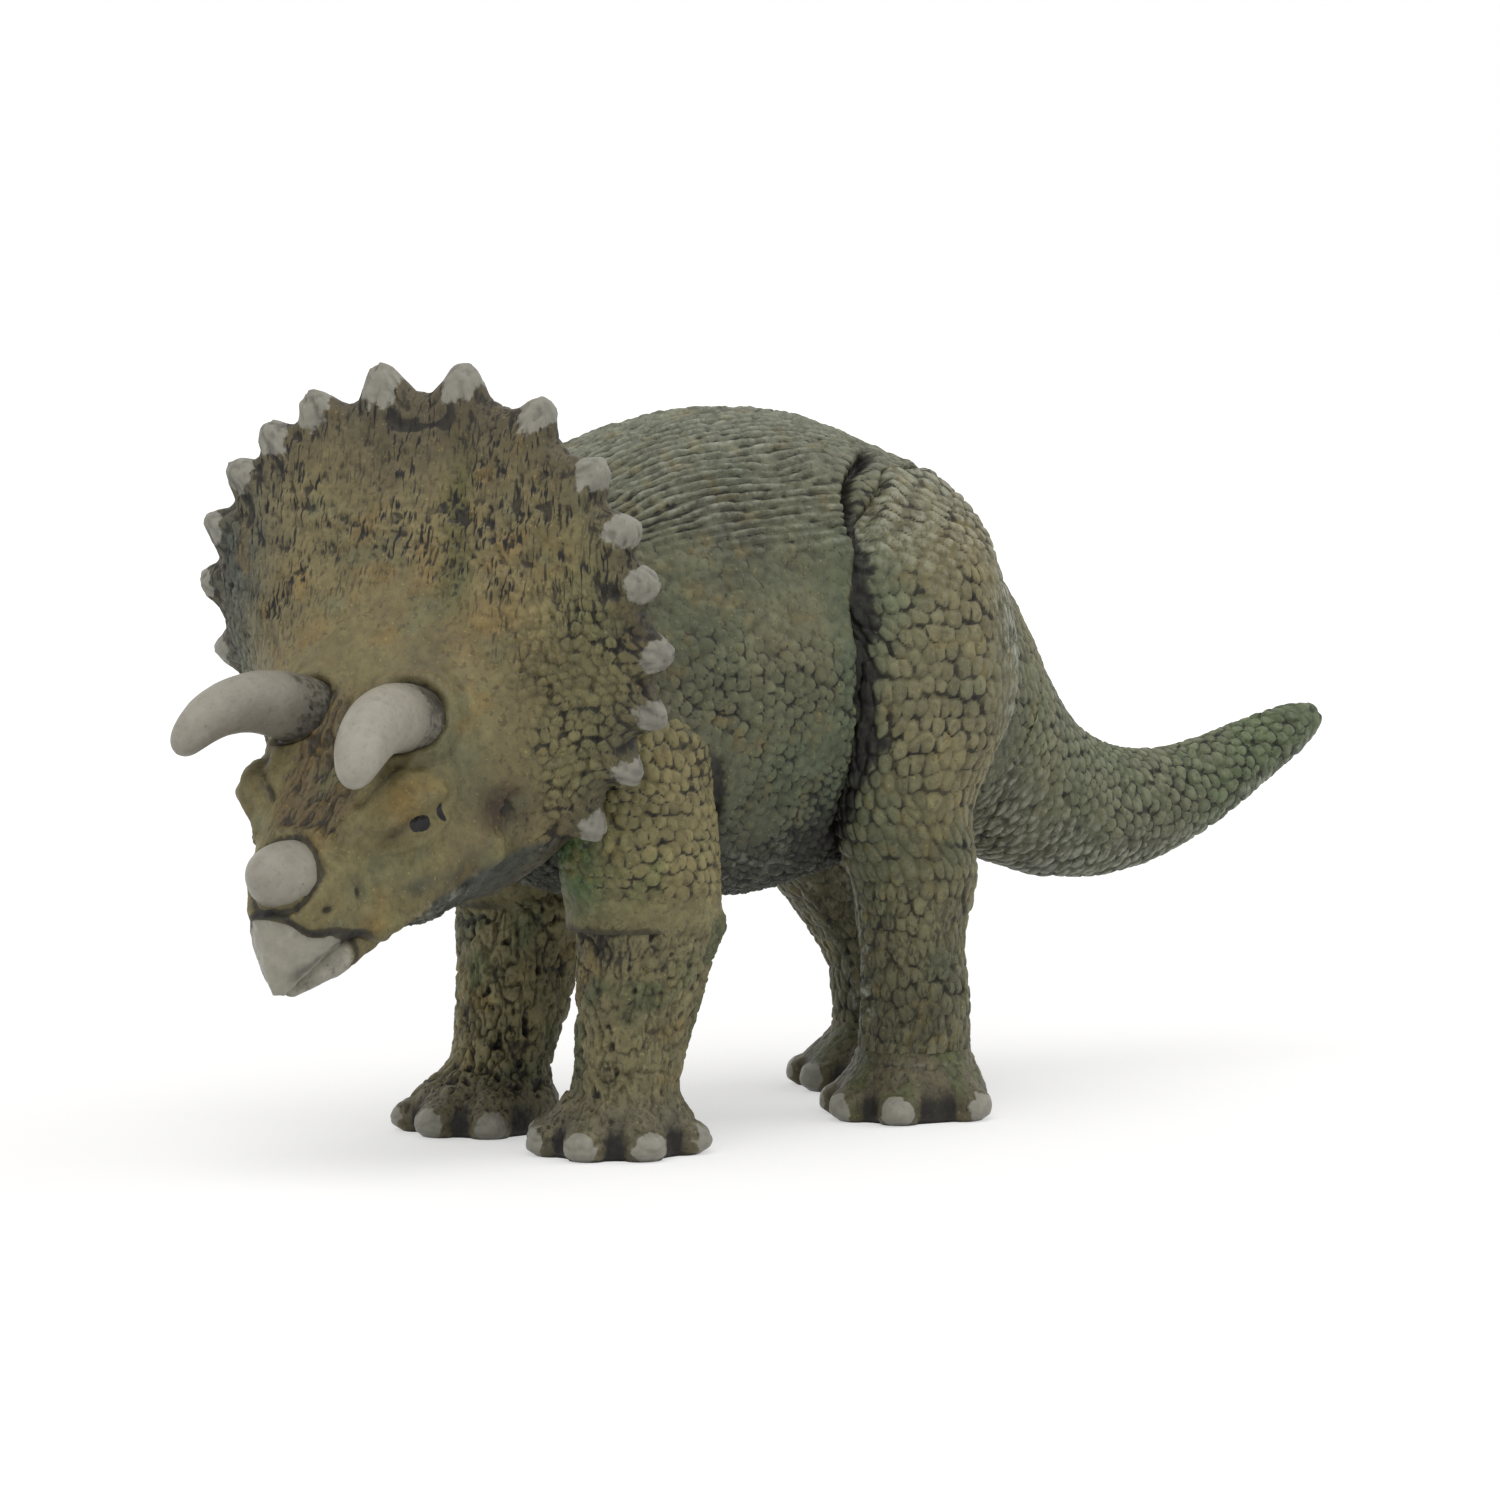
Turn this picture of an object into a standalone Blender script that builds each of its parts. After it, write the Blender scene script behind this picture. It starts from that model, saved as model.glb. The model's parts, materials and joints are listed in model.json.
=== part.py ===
"""Toy dinosaur figure: a small solid vinyl three horned dinosaur, walking, with its head turned and lowered.

The figure faces -Y with its left side at +X, stands on Z = 0 and is modelled in metres.
It is moulded in thirteen pieces that plug into each other and are glued, so nothing on it moves.
"""
import math

import bpy
import bmesh
import numpy as np
from mathutils import Matrix, Vector

for old_object in list(bpy.data.objects):
    bpy.data.objects.remove(old_object, do_unlink=True)

# Driving dimensions of the trunk and the tail
spine_length = 0.0942
chest_reach = 0.0310
back_height = 0.0590
trunk_width = 0.0306
tail_swing = 0.0036

# Driving dimensions of the head, measured from the middle of the frill, which stands behind the chest's front
head_place_x = 0.0005
head_setback = 0.0035
head_place_z = 0.0400
head_turn = math.radians(20.0)
head_nod = math.radians(20.0)
face_length = 0.0300
frill_width = 0.0414
frill_rise = 0.0200
stud_height = 0.0018
stud_width = 0.0034

# Driving dimensions of the horns and the lower jaw
brow_horn_length = 0.0132
brow_horn_width = 0.0056
nose_horn_length = 0.0066
nose_horn_width = 0.0060
jaw_length = 0.0180
jaw_width = 0.0114
jaw_depth = 0.0040

# Driving dimensions of the legs
fore_track = 0.0106
fore_leg_left_y = -0.0162
fore_leg_right_y = -0.0132
fore_foot_left_y = -0.0163
fore_foot_right_y = -0.0177
shoulder_height = 0.0385
shoulder_width = 0.0114
shoulder_depth = 0.0138
elbow_height = 0.0180
hind_track = 0.0105
hind_leg_place_y = 0.0129
hind_foot_left_y = 0.0143
hind_foot_right_y = 0.0229
haunch_height = 0.0525
haunch_width = 0.0124
haunch_depth = 0.0208
ankle_height = 0.0056
fore_foot_width = 0.0116
fore_foot_length = 0.0126
hind_foot_width = 0.0114
hind_foot_length = 0.0136
toe_reach = 0.0026

# Fits: the gap at every glued face and the pegs that cross it
seat_gap = 0.0003
elbow_peg_width = 0.0044
elbow_peg_length = 0.0040
ankle_peg_width = 0.0040
ankle_peg_length = 0.0030
tail_peg_width = 0.0070
tail_peg_length = 0.0060
weld_distance = 0.00001
peg_sides = 20
peg_sink_share = 0.5
horn_sides = 14
horn_steps = 2

# Trunk and tail: along, centre height, half width, half height, and the tilt of the section in degrees
trunk_shares = (
    (0.000, 0.612, 0.190, 0.120, 0.0),
    (0.030, 0.615, 0.320, 0.196, 0.0),
    (0.118, 0.625, 0.410, 0.286, 0.0),
    (0.225, 0.650, 0.470, 0.327, 0.0),
    (0.332, 0.662, 0.500, 0.335, 0.0),
    (0.417, 0.656, 0.480, 0.322, 2.0),
    (0.495, 0.626, 0.425, 0.276, 9.0),
    (0.558, 0.582, 0.350, 0.216, 23.0),
    (0.605, 0.525, 0.285, 0.164, 38.0),
)
tail_shares = (
    (0.605, 0.525, 0.285, 0.164, 38.0),
    (0.650, 0.457, 0.245, 0.136, 36.0),
    (0.715, 0.397, 0.200, 0.112, 20.0),
    (0.800, 0.384, 0.156, 0.088, -5.0),
    (0.880, 0.424, 0.117, 0.065, -21.0),
    (0.950, 0.479, 0.084, 0.046, -27.0),
    (0.985, 0.505, 0.062, 0.035, -27.0),
    (1.000, 0.515, 0.030, 0.018, -27.0),
)
top_narrowing_share = 0.13
trunk_sides = 20
tail_sides = 12

# Head: the forward place of the top, side and bottom lines, the half width, the same three heights, then how far
# the throat hangs below and how far the jowls stand out
head_shares = (
    (-0.400, -0.400, -0.400, 0.140, 0.200, -0.150, -0.450, 0.000, 0.000),
    (-0.310, -0.310, -0.310, 0.195, 0.350, -0.150, -0.600, 0.000, 0.000),
    (-0.250, -0.220, -0.080, 0.240, 0.480, -0.100, -0.690, 0.060, 0.000),
    (-0.240, -0.130, 0.060, 0.385, 0.780, 0.060, -0.710, 0.175, 0.000),
    (-0.200, -0.030, 0.170, 0.475, 0.955, 0.130, -0.710, 0.230, 0.000),
    (-0.155, 0.030, 0.240, 0.495, 0.995, 0.145, -0.710, 0.230, 0.000),
    (-0.105, 0.075, 0.290, 0.475, 0.945, 0.135, -0.700, 0.225, 0.000),
    (0.000, 0.145, 0.340, 0.385, 0.670, 0.030, -0.690, 0.220, 0.020),
    (0.185, 0.270, 0.410, 0.280, 0.335, -0.125, -0.690, 0.210, 0.060),
    (0.330, 0.390, 0.480, 0.225, 0.155, -0.225, -0.700, 0.170, 0.110),
    (0.455, 0.490, 0.550, 0.200, 0.020, -0.290, -0.700, 0.120, 0.130),
    (0.580, 0.600, 0.640, 0.195, -0.100, -0.310, -0.700, 0.050, 0.130),
    (0.700, 0.700, 0.720, 0.140, -0.215, -0.420, -0.700, 0.000, 0.100),
    (0.830, 0.800, 0.780, 0.108, -0.300, -0.520, -0.710, 0.000, 0.030),
    (0.935, 0.885, 0.850, 0.090, -0.430, -0.610, -0.740, 0.000, 0.000),
    (0.990, 0.950, 0.915, 0.050, -0.640, -0.720, -0.790, 0.000, 0.000),
    (0.990, 0.975, 0.960, 0.010, -0.790, -0.800, -0.810, 0.000, 0.000),
)
head_sides = 20
rim_squareness = 0.09
rim_row = 5
stud_angles = (-50.0, -35.5, -21.5, -6.0, 10.0, 23.5, 40.0, 61.0, 82.0, 99.5, 117.0, 130.0, 143.0, 158.5, 173.5, 189.5,
               205.0, 221.0)
stud_sides = 7
stud_sink_share = 0.60
stud_tip_share = 0.35
rim_sink_share = 0.25

# Lower jaw: along the jaw, sideways swell, thickness and drop below the mouth line
jaw_shares = (
    (0.00, 0.26, 0.32, 0.00),
    (0.16, 0.48, 0.47, 0.05),
    (0.38, 0.50, 0.50, 0.08),
    (0.58, 0.42, 0.48, 0.16),
    (0.76, 0.33, 0.45, 0.36),
    (0.92, 0.22, 0.32, 0.55),
    (1.00, 0.08, 0.16, 0.74),
)
jaw_sides = 12
jaw_root_share = 0.330
mouth_height_share = -0.660

# Horns: where they stand on the head, and their bend and taper from the root to the tip
brow_root_shares = (0.435, 0.121, 0.000)
left_brow_path_shares = ((-0.15, -0.02, -0.17), (0.00, 0.00, 0.00), (0.26, 0.05, 0.11), (0.52, 0.12, 0.14),
                         (0.73, 0.18, 0.10), (0.86, 0.22, 0.04), (0.92, 0.24, 0.00))
right_brow_path_shares = ((-0.15, -0.02, -0.15), (0.00, 0.00, 0.02), (0.25, 0.06, 0.18), (0.49, 0.13, 0.25),
                          (0.69, 0.19, 0.22), (0.81, 0.22, 0.16), (0.87, 0.24, 0.12))
brow_taper_shares = (1.00, 1.00, 0.95, 0.85, 0.70, 0.53, 0.27)
nose_root_shares = (0.750, 0.000, -0.475)
nose_path_shares = ((0.00, 0.00, 0.00), (0.30, 0.00, 0.15), (0.62, 0.00, 0.32), (0.84, 0.00, 0.44),
                    (0.94, 0.00, 0.49))
nose_taper_shares = (0.94, 1.00, 0.86, 0.56, 0.20)

# Limbs: height above the limb's lower end, sideways place, slide from the hip to the foot, set back, then the
# half width and the half depth
elbow_shares = (0.92, 0.05, 0.120, 0.425, 0.440)
ankle_shares = (0.72, 1.12, 0.000, 0.365, 0.235)
shoulder_shares = (
    (1.00, 0.56, 0.00, 0.000, 0.200, 0.220),
    (0.88, 0.70, 0.00, 0.000, 0.400, 0.420),
    (0.65, 0.88, 0.00, 0.000, 0.490, 0.500),
    (0.38, 0.98, 0.00, 0.000, 0.500, 0.500),
    (0.16, 0.98, 0.03, 0.035, 0.480, 0.490),
    (0.00, 0.93, 0.05, 0.100, 0.455, 0.475),
)
fore_leg_shares = (
    (1.00, *elbow_shares),
    (0.76, 0.88, 0.30, 0.095, 0.405, 0.395),
    (0.50, 0.83, 0.50, 0.065, 0.365, 0.352),
    (0.32, 0.80, 0.70, 0.035, 0.360, 0.312),
)
haunch_shares = (
    (1.00, 0.60, 0.00, -0.030, 0.180, 0.190),
    (0.955, 0.70, 0.00, -0.040, 0.340, 0.335),
    (0.87, 0.86, 0.00, -0.040, 0.460, 0.420),
    (0.73, 0.98, 0.00, -0.030, 0.495, 0.475),
    (0.59, 1.00, 0.03, -0.030, 0.500, 0.460),
    (0.47, 0.98, 0.08, -0.120, 0.475, 0.335),
    (0.39, 0.95, 0.25, -0.125, 0.445, 0.290),
    (0.31, 0.91, 0.45, -0.010, 0.410, 0.268),
    (0.21, 0.84, 0.85, -0.060, 0.365, 0.198),
    (0.10, 0.76, 1.10, 0.005, 0.345, 0.210),
    (0.00, *ankle_shares),
)

# Feet: height, half width and half length, and how far the toes stand out there
fore_foot_shares = (
    (0.22, 0.42, 0.40, 0.10),
    (0.14, 0.48, 0.48, 0.55),
    (0.06, 0.50, 0.50, 1.00),
    (0.00, 0.48, 0.48, 0.90),
)
hind_foot_shares = (
    (0.68, 0.43, 0.38, 0.20),
    (0.36, 0.49, 0.49, 0.90),
    (0.12, 0.50, 0.50, 1.00),
    (0.00, 0.48, 0.48, 0.90),
)
foot_track_share = 0.76
fore_toe_angles = (-60.0, -15.0, 30.0, 76.0, 125.0)
hind_toe_angles = (-48.0, -2.0, 43.0, 104.0)
toe_spread = 15.0
fore_sides = 24
haunch_sides = 16
hind_foot_sides = 20

# Materials
body_green = (0.120, 0.125, 0.070)
tail_green = (0.085, 0.115, 0.070)
face_brown = (0.185, 0.140, 0.060)
horn_grey = (0.350, 0.325, 0.275)
vinyl_roughness = 0.45
horn_roughness = 0.38


def new_collection(name):
    """A collection in the scene that holds the pieces or the cutters."""
    made = bpy.data.collections.new(name)
    bpy.context.scene.collection.children.link(made)
    return made


pieces = new_collection("toy_dinosaur_figure")
cutters = new_collection("cutters")
root = bpy.data.objects.new("figure_root", None)
pieces.objects.link(root)


def vinyl(name, colour, roughness):
    """A plain painted vinyl."""
    made = bpy.data.materials.new(name)
    made.use_nodes = True
    shader = made.node_tree.nodes["Principled BSDF"]
    shader.inputs["Base Color"].default_value = (*colour, 1.0)
    shader.inputs["Roughness"].default_value = roughness
    shader.inputs["Metallic"].default_value = 0.0
    return made


def place(name, mesh, collection):
    """An object for a mesh, carried by the figure's root."""
    made = bpy.data.objects.new(name, mesh)
    collection.objects.link(made)
    made.parent = root
    if collection is cutters:
        made.hide_render = True
        made.display_type = "WIRE"
    return made


def mesh_from(name, shell):
    """The finished mesh of a shell, with its faces turned outwards and shaded smooth."""
    bmesh.ops.recalc_face_normals(shell, faces=shell.faces)
    mesh = bpy.data.meshes.new(name)
    shell.to_mesh(mesh)
    shell.free()
    mesh.shade_smooth()
    return mesh


def rounded(piece):
    """Subdivision that turns a coarse cage into a soft form."""
    rounding = piece.modifiers.new("rounding", "SUBSURF")
    rounding.levels = 1
    rounding.render_levels = 1
    return piece


def loft(name, rings, collection, flat_first, flat_last):
    """Soft skin through a row of rings of equal count, capped at both ends.

    A flat end has its ring creased, so that the cap stays a plane with a clear edge.
    """
    shell = bmesh.new()
    crease = shell.edges.layers.float.new("crease_edge")
    loops = [[shell.verts.new(point) for point in ring] for ring in rings]
    count = len(loops[0])
    for lower, upper in zip(loops, loops[1:]):
        for side in range(count):
            after = (side + 1) % count
            shell.faces.new((lower[side], lower[after], upper[after], upper[side]))
    shell.faces.new(loops[0][::-1])
    shell.faces.new(loops[-1])
    for loop, flat in ((loops[0], flat_first), (loops[-1], flat_last)):
        for side in range(count):
            edge = shell.edges.get((loop[side], loop[(side + 1) % count]))
            edge[crease] = float(flat)
            edge.smooth = not flat
    return rounded(place(name, mesh_from(name, shell), collection))


def add_stub(shell, start, end, width, end_width, sides):
    """Straight round stub from one point to another."""
    made = bmesh.ops.create_cone(shell, cap_ends=True, segments=sides, radius1=width / 2, radius2=end_width / 2,
                                 depth=(end - start).length)
    turn = (end - start).to_track_quat("Z", "Y").to_matrix().to_4x4()
    bmesh.ops.transform(shell, matrix=Matrix.Translation((start + end) / 2) @ turn, verts=made["verts"])


def round_peg(name, start, end, width):
    """Round peg as a tool for a join or a cut."""
    shell = bmesh.new()
    add_stub(shell, start, end, width, width, peg_sides)
    return place(name, mesh_from(name, shell), cutters)


def plug(piece, holder, name, width, length, seam, outward):
    """Round peg on the piece, and the socket that it fills in the holder, both square to their seam."""
    sunk = seam - outward * length * peg_sink_share
    combine(piece, round_peg(name + "_peg", sunk, seam + outward * length, width), "UNION")
    combine(holder, round_peg(name + "_socket", sunk, seam + outward * (length + seat_gap), width + 2 * seat_gap),
            "DIFFERENCE")


def grown(source):
    """Cutter with the skin of a piece, pushed out by the gap that is kept at a seat."""
    made = place(source.name + "_seat", source.data, cutters)
    if "rounding" in source.modifiers:
        rounded(made)
    push = made.modifiers.new("gap", "DISPLACE")
    push.strength = seat_gap
    push.mid_level = 0.0
    return made


def combine(piece, tool, operation, solver="EXACT"):
    """Cut the tool out of the piece, or join it on."""
    step = piece.modifiers.new(tool.name, "BOOLEAN")
    step.operation = operation
    step.solver = solver
    step.object = tool


# Trunk and tail
def spine_middle(along):
    """Middle line of the trunk and the tail: straight, then swung to the left along the tail."""
    start = tail_shares[0][0]
    past = max(along - start, 0.0) / (1.0 - start)
    return Vector((tail_swing * past ** 2, along * spine_length - chest_reach, 0.0))


def spine_ring(row, sides, step=0.0):
    """Oval section, a little narrower above, tilted about X and moved along its own normal by the step."""
    along, centre, half_width, half_height, tilt = row
    lean = math.radians(tilt)
    rise = Vector((0.0, math.sin(lean), math.cos(lean)))
    back = Vector((0.0, math.cos(lean), -math.sin(lean)))
    middle = spine_middle(along) + Vector((0.0, 0.0, centre * back_height)) + back * step
    ring = []
    for side in range(sides):
        angle = 2 * math.pi * side / sides
        width = half_width * trunk_width * (1.0 - top_narrowing_share * max(math.sin(angle), 0.0))
        ring.append(middle + Vector((width * math.cos(angle), 0.0, 0.0))
                    + rise * half_height * back_height * math.sin(angle))
    return ring


torso = loft("torso", [spine_ring(row, trunk_sides) for row in trunk_shares], pieces, False, True)
tail_rings = [spine_ring(tail_shares[0], tail_sides, seat_gap)]
tail_rings += [spine_ring(row, tail_sides) for row in tail_shares[1:]]
tail = loft("tail", tail_rings, pieces, True, False)
seam_lean = math.radians(tail_shares[0][4])
tail_seam = spine_middle(tail_shares[0][0]) + Vector((0.0, 0.0, tail_shares[0][1] * back_height))
plug(tail, torso, "tail", tail_peg_width, tail_peg_length, tail_seam,
     Vector((0.0, -math.cos(seam_lean), math.sin(seam_lean))))


# Legs
def level_ring(middle, half_width, half_depth, side, sides, toes=0.0, toe_angles=()):
    """Level oval section that starts at the front and turns outwards, with a round lobe at each toe."""
    ring = []
    for step in range(sides):
        angle = 360.0 * step / sides
        lobe = sum(math.exp(-(((angle - toe + 180.0) % 360.0 - 180.0) / toe_spread) ** 2) for toe in toe_angles)
        reach = toe_reach * toes * lobe
        ring.append(middle + Vector((side * math.sin(math.radians(angle)) * (half_width + reach),
                                     -math.cos(math.radians(angle)) * (half_depth + reach), 0.0)))
    return ring


def limb_rings(rows, low, high, track, hip_y, foot_y, width, depth, side, sides):
    """Sections of a limb: it moves in under the body and slides from the hip to the foot on its way down."""
    rings = []
    for height, sideways, slide, set_back, half_width, half_depth in rows:
        middle = Vector((side * sideways * track, hip_y + (foot_y - hip_y) * slide + set_back * depth,
                         low + height * (high - low)))
        rings.append(level_ring(middle, half_width * width, half_depth * depth, side, sides))
    return rings


def foot_rings(rows, top, x, y, width, length, toe_angles, side, sides):
    """Sections of a foot down to its sole."""
    return [level_ring(Vector((x, y, height * top)), half_width * width, half_length * length, side, sides,
                       toes, toe_angles) for height, half_width, half_length, toes in rows]


def lowered(rings, drop):
    """The rings with the first one moved down, which opens the gap of a level seam."""
    return [[point - Vector((0.0, 0.0, drop)) for point in rings[0]]] + rings[1:]


def middle_of(ring):
    """Middle of a level ring."""
    return sum(ring, Vector()) / len(ring)


up = Vector((0.0, 0.0, 1.0))
forelegs = []
hindlegs = []
hind_feet = []
for word, side, fore_leg_y, fore_foot_y, hind_foot_y in (
    ("left", 1, fore_leg_left_y, fore_foot_left_y, hind_foot_left_y),
    ("right", -1, fore_leg_right_y, fore_foot_right_y, hind_foot_right_y),
):
    fore_sizes = (fore_track, fore_leg_y, fore_foot_y, shoulder_width, shoulder_depth, side, fore_sides)
    rings = limb_rings(shoulder_shares, elbow_height, shoulder_height, *fore_sizes)
    combine(torso, loft("shoulder_" + word, rings, cutters, False, True), "UNION")

    rings = limb_rings(fore_leg_shares, 0.0, elbow_height, *fore_sizes)
    elbow = middle_of(rings[0])
    rings += foot_rings(fore_foot_shares, elbow_height, side * foot_track_share * fore_track, fore_foot_y,
                        fore_foot_width, fore_foot_length, fore_toe_angles, side, fore_sides)
    foreleg = loft("foreleg_" + word, lowered(rings, seat_gap), pieces, True, True)
    plug(foreleg, torso, "elbow_" + word, elbow_peg_width, elbow_peg_length, elbow, up)
    forelegs.append(foreleg)

    hind_sizes = (hind_track, hind_leg_place_y, hind_foot_y, haunch_width, haunch_depth, side)
    rings = limb_rings(haunch_shares, ankle_height, haunch_height, *hind_sizes, haunch_sides)
    hindleg = loft("hindleg_" + word, rings, pieces, False, True)
    combine(torso, grown(hindleg), "DIFFERENCE")
    hindlegs.append(hindleg)

    rings = limb_rings(haunch_shares[-1:], ankle_height, haunch_height, *hind_sizes, hind_foot_sides)
    ankle = middle_of(rings[0])
    rings += foot_rings(hind_foot_shares, ankle_height, ankle.x, hind_foot_y, hind_foot_width, hind_foot_length,
                        hind_toe_angles, side, hind_foot_sides)
    hind_foot = loft("hind_foot_" + word, lowered(rings, seat_gap), pieces, True, True)
    plug(hind_foot, hindleg, "ankle_" + word, ankle_peg_width, ankle_peg_length, ankle, up)
    hind_feet.append(hind_foot)


# Head: everything on it is placed forward, left and up from the middle of the frill
ahead = Vector((math.sin(head_turn) * math.cos(head_nod), -math.cos(head_turn) * math.cos(head_nod),
                -math.sin(head_nod)))
leftward = Vector((math.cos(head_turn), math.sin(head_turn), 0.0))
upward = ahead.cross(leftward)
head_place = Vector((head_place_x, head_setback - chest_reach, head_place_z))


def on_head(forward_by, left_by, up_by):
    """Point on the turned head."""
    return head_place + ahead * forward_by + leftward * left_by + upward * up_by


def head_point(row, angle):
    """Point round the head: an oval whose top, sides and bottom each follow their own line.

    The wider the section, the squarer it is, as the frill's rim is. Below, the throat hangs down in the middle and
    the jowls stand out at the corners.
    """
    top_ahead, side_ahead, bottom_ahead, half_width, top, middle, bottom, throat, jowl = row
    out = math.cos(angle)
    over = max(math.sin(angle), 0.0)
    under = max(-math.sin(angle), 0.0)
    forward_by = side_ahead * out ** 2 + top_ahead * over ** 2 + bottom_ahead * under ** 2
    power = 1.0 - rim_squareness * (half_width / head_shares[rim_row][3]) ** 2
    corner = jowl * (2.0 * out * under) ** 2 / math.sqrt(2.0)
    left_by = math.copysign(half_width * frill_width * abs(out) ** power + corner * frill_rise, out)
    up_by = middle + (top - middle) * over ** power + (bottom - middle) * under ** power - throat * under ** 4
    return on_head(forward_by * face_length, left_by, (up_by - corner) * frill_rise)


head = loft("head", [[head_point(row, 2 * math.pi * side / head_sides) for side in range(head_sides)]
                     for row in head_shares], pieces, False, False)
# The exact solver loses the torso here at some sizes
combine(torso, grown(head), "DIFFERENCE", "MANIFOLD")

# Studs on the rim of the frill, the lowest of which rests in a dent of the shoulder
rim = head_shares[rim_row]
rim_middle = on_head(rim[1] * face_length, 0.0, rim[5] * frill_rise)
stud_shell = bmesh.new()
for stud_angle in stud_angles:
    foot = head_point(rim, math.radians(stud_angle))
    outward = (foot - rim_middle).normalized()
    add_stub(stud_shell, foot - outward * stud_height * stud_sink_share,
             foot + outward * stud_height * (1.0 - rim_sink_share), stud_width, stud_width * stud_tip_share,
             stud_sides)
studs = place("studs", mesh_from("studs", stud_shell), cutters)
combine(head, studs, "UNION")
combine(torso, grown(studs), "DIFFERENCE")


# Horns
def horn(name, root_place, path, taper, length, width, side):
    """Bent and tapered horn: a tube along its path, made a mesh so that the head can be cut for its root."""
    curve = bpy.data.curves.new(name, "CURVE")
    curve.dimensions = "3D"
    curve.bevel_depth = width / 2
    curve.bevel_resolution = (horn_sides - 4) // 2
    curve.resolution_u = horn_steps
    curve.use_fill_caps = True
    spline = curve.splines.new("BEZIER")
    spline.bezier_points.add(len(path) - 1)
    for point, step, share in zip(spline.bezier_points, path, taper):
        point.co = on_head(root_place[0] * face_length + step[0] * length,
                           side * (root_place[1] * frill_width + step[1] * length),
                           root_place[2] * frill_rise + step[2] * length)
        point.radius = share
        point.handle_left_type = "AUTO"
        point.handle_right_type = "AUTO"
    guide = bpy.data.objects.new(name + "_path", curve)
    cutters.objects.link(guide)
    bpy.context.view_layer.update()
    tube = bpy.data.meshes.new_from_object(guide.evaluated_get(bpy.context.evaluated_depsgraph_get()))
    bpy.data.objects.remove(guide, do_unlink=True)
    shell = bmesh.new()
    shell.from_mesh(tube)
    bmesh.ops.remove_doubles(shell, verts=shell.verts, dist=weld_distance)
    made = place(name, mesh_from(name, shell), pieces)
    combine(head, grown(made), "DIFFERENCE")
    return made


brow_horns = [horn("brow_horn_" + word, brow_root_shares, path, brow_taper_shares, brow_horn_length,
                   brow_horn_width, side)
              for word, side, path in (("left", 1, left_brow_path_shares), ("right", -1, right_brow_path_shares))]
nose_horn = horn("nose_horn", nose_root_shares, nose_path_shares, nose_taper_shares, nose_horn_length,
                 nose_horn_width, 1)


# Lower jaw
def jaw_ring(row):
    """Oval section across the jaw, on a line that drops towards the tip of the beak."""
    along, swell, thickness, drop = row
    forward_by = jaw_root_share * face_length + along * jaw_length
    middle = mouth_height_share * frill_rise - drop * jaw_depth
    angles = [2 * math.pi * side / jaw_sides for side in range(jaw_sides)]
    return [on_head(forward_by, swell * jaw_width * math.cos(angle),
                    middle + thickness * jaw_depth * math.sin(angle)) for angle in angles]


jaw = loft("lower_jaw", [jaw_ring(row) for row in jaw_shares], pieces, False, False)
combine(head, grown(jaw), "DIFFERENCE")

for painted, paint in (
    ([torso] + hindlegs + hind_feet, vinyl("body_vinyl", body_green, vinyl_roughness)),
    ([tail], vinyl("tail_vinyl", tail_green, vinyl_roughness)),
    ([head] + forelegs, vinyl("face_vinyl", face_brown, vinyl_roughness)),
    (brow_horns + [nose_horn, jaw], vinyl("horn_vinyl", horn_grey, horn_roughness)),
):
    for piece in painted:
        piece.data.materials.append(paint)

# The figure stands on the floor with the middle of its outline over the origin
bpy.context.view_layer.update()
depsgraph = bpy.context.evaluated_depsgraph_get()
corners = np.array([corner for piece in pieces.objects if piece.type == "MESH"
                    for corner in piece.evaluated_get(depsgraph).bound_box])
low_corner = corners.min(axis=0)
high_corner = corners.max(axis=0)
root.location = (-(low_corner[0] + high_corner[0]) / 2, -(low_corner[1] + high_corner[1]) / 2, -low_corner[2])
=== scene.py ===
"""Toy dinosaur figure in hand painted vinyl: the skin, scales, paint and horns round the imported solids."""
import json

import bpy
import numpy as np
from mathutils import Matrix, Vector


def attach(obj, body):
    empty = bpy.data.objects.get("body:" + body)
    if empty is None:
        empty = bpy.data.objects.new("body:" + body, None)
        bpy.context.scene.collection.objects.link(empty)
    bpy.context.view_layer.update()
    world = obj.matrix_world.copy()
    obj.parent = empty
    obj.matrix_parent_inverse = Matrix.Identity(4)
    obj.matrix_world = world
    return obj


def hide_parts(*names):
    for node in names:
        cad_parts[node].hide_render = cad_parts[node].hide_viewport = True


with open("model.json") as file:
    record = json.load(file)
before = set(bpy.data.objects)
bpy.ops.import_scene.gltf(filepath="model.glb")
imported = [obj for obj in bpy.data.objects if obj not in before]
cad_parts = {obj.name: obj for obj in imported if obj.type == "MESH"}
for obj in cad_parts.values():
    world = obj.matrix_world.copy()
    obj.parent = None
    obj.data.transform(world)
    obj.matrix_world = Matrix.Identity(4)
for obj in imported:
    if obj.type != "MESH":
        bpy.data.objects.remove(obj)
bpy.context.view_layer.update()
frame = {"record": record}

mm = 0.001

# The photographer's table: a sweep of matt white board under a wide overhead lamp and a weak lamp behind,
# seen through a long lens from a little above the figure's left front.
fore_track = 10.6 * mm
fore_foot_left_y = -16.3 * mm
foot_track_share = 0.76
sole = next(mount for mount in frame["record"]["mounts"] if mount["name"] == "sole_fore_left")["pos_m"]
stand = np.array((sole[0] - foot_track_share * fore_track, sole[1] - fore_foot_left_y, 0.0))

view_turn = 52.0
view_rise = 5.0
view_distance = 450 * mm
view_aim = stand + np.array((16.3, -9.5, 32.0)) * mm
sensor_width = 36.0
lens_length = 138.0
board_size = 6.0
near_board = 0.10
far_board = 0.45
near_glow = 1.86
far_glow = 3.0
glow_share = 0.25
sky_strength = 0.66


def linear(red, green, blue):
    """A paint named by its 8 bit screen numbers, as light: ((c + 0.055) / 1.055) ^ 2.4."""
    return np.array([((c / 255.0 + 0.055) / 1.055) ** 2.4 for c in (red, green, blue)])


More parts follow.
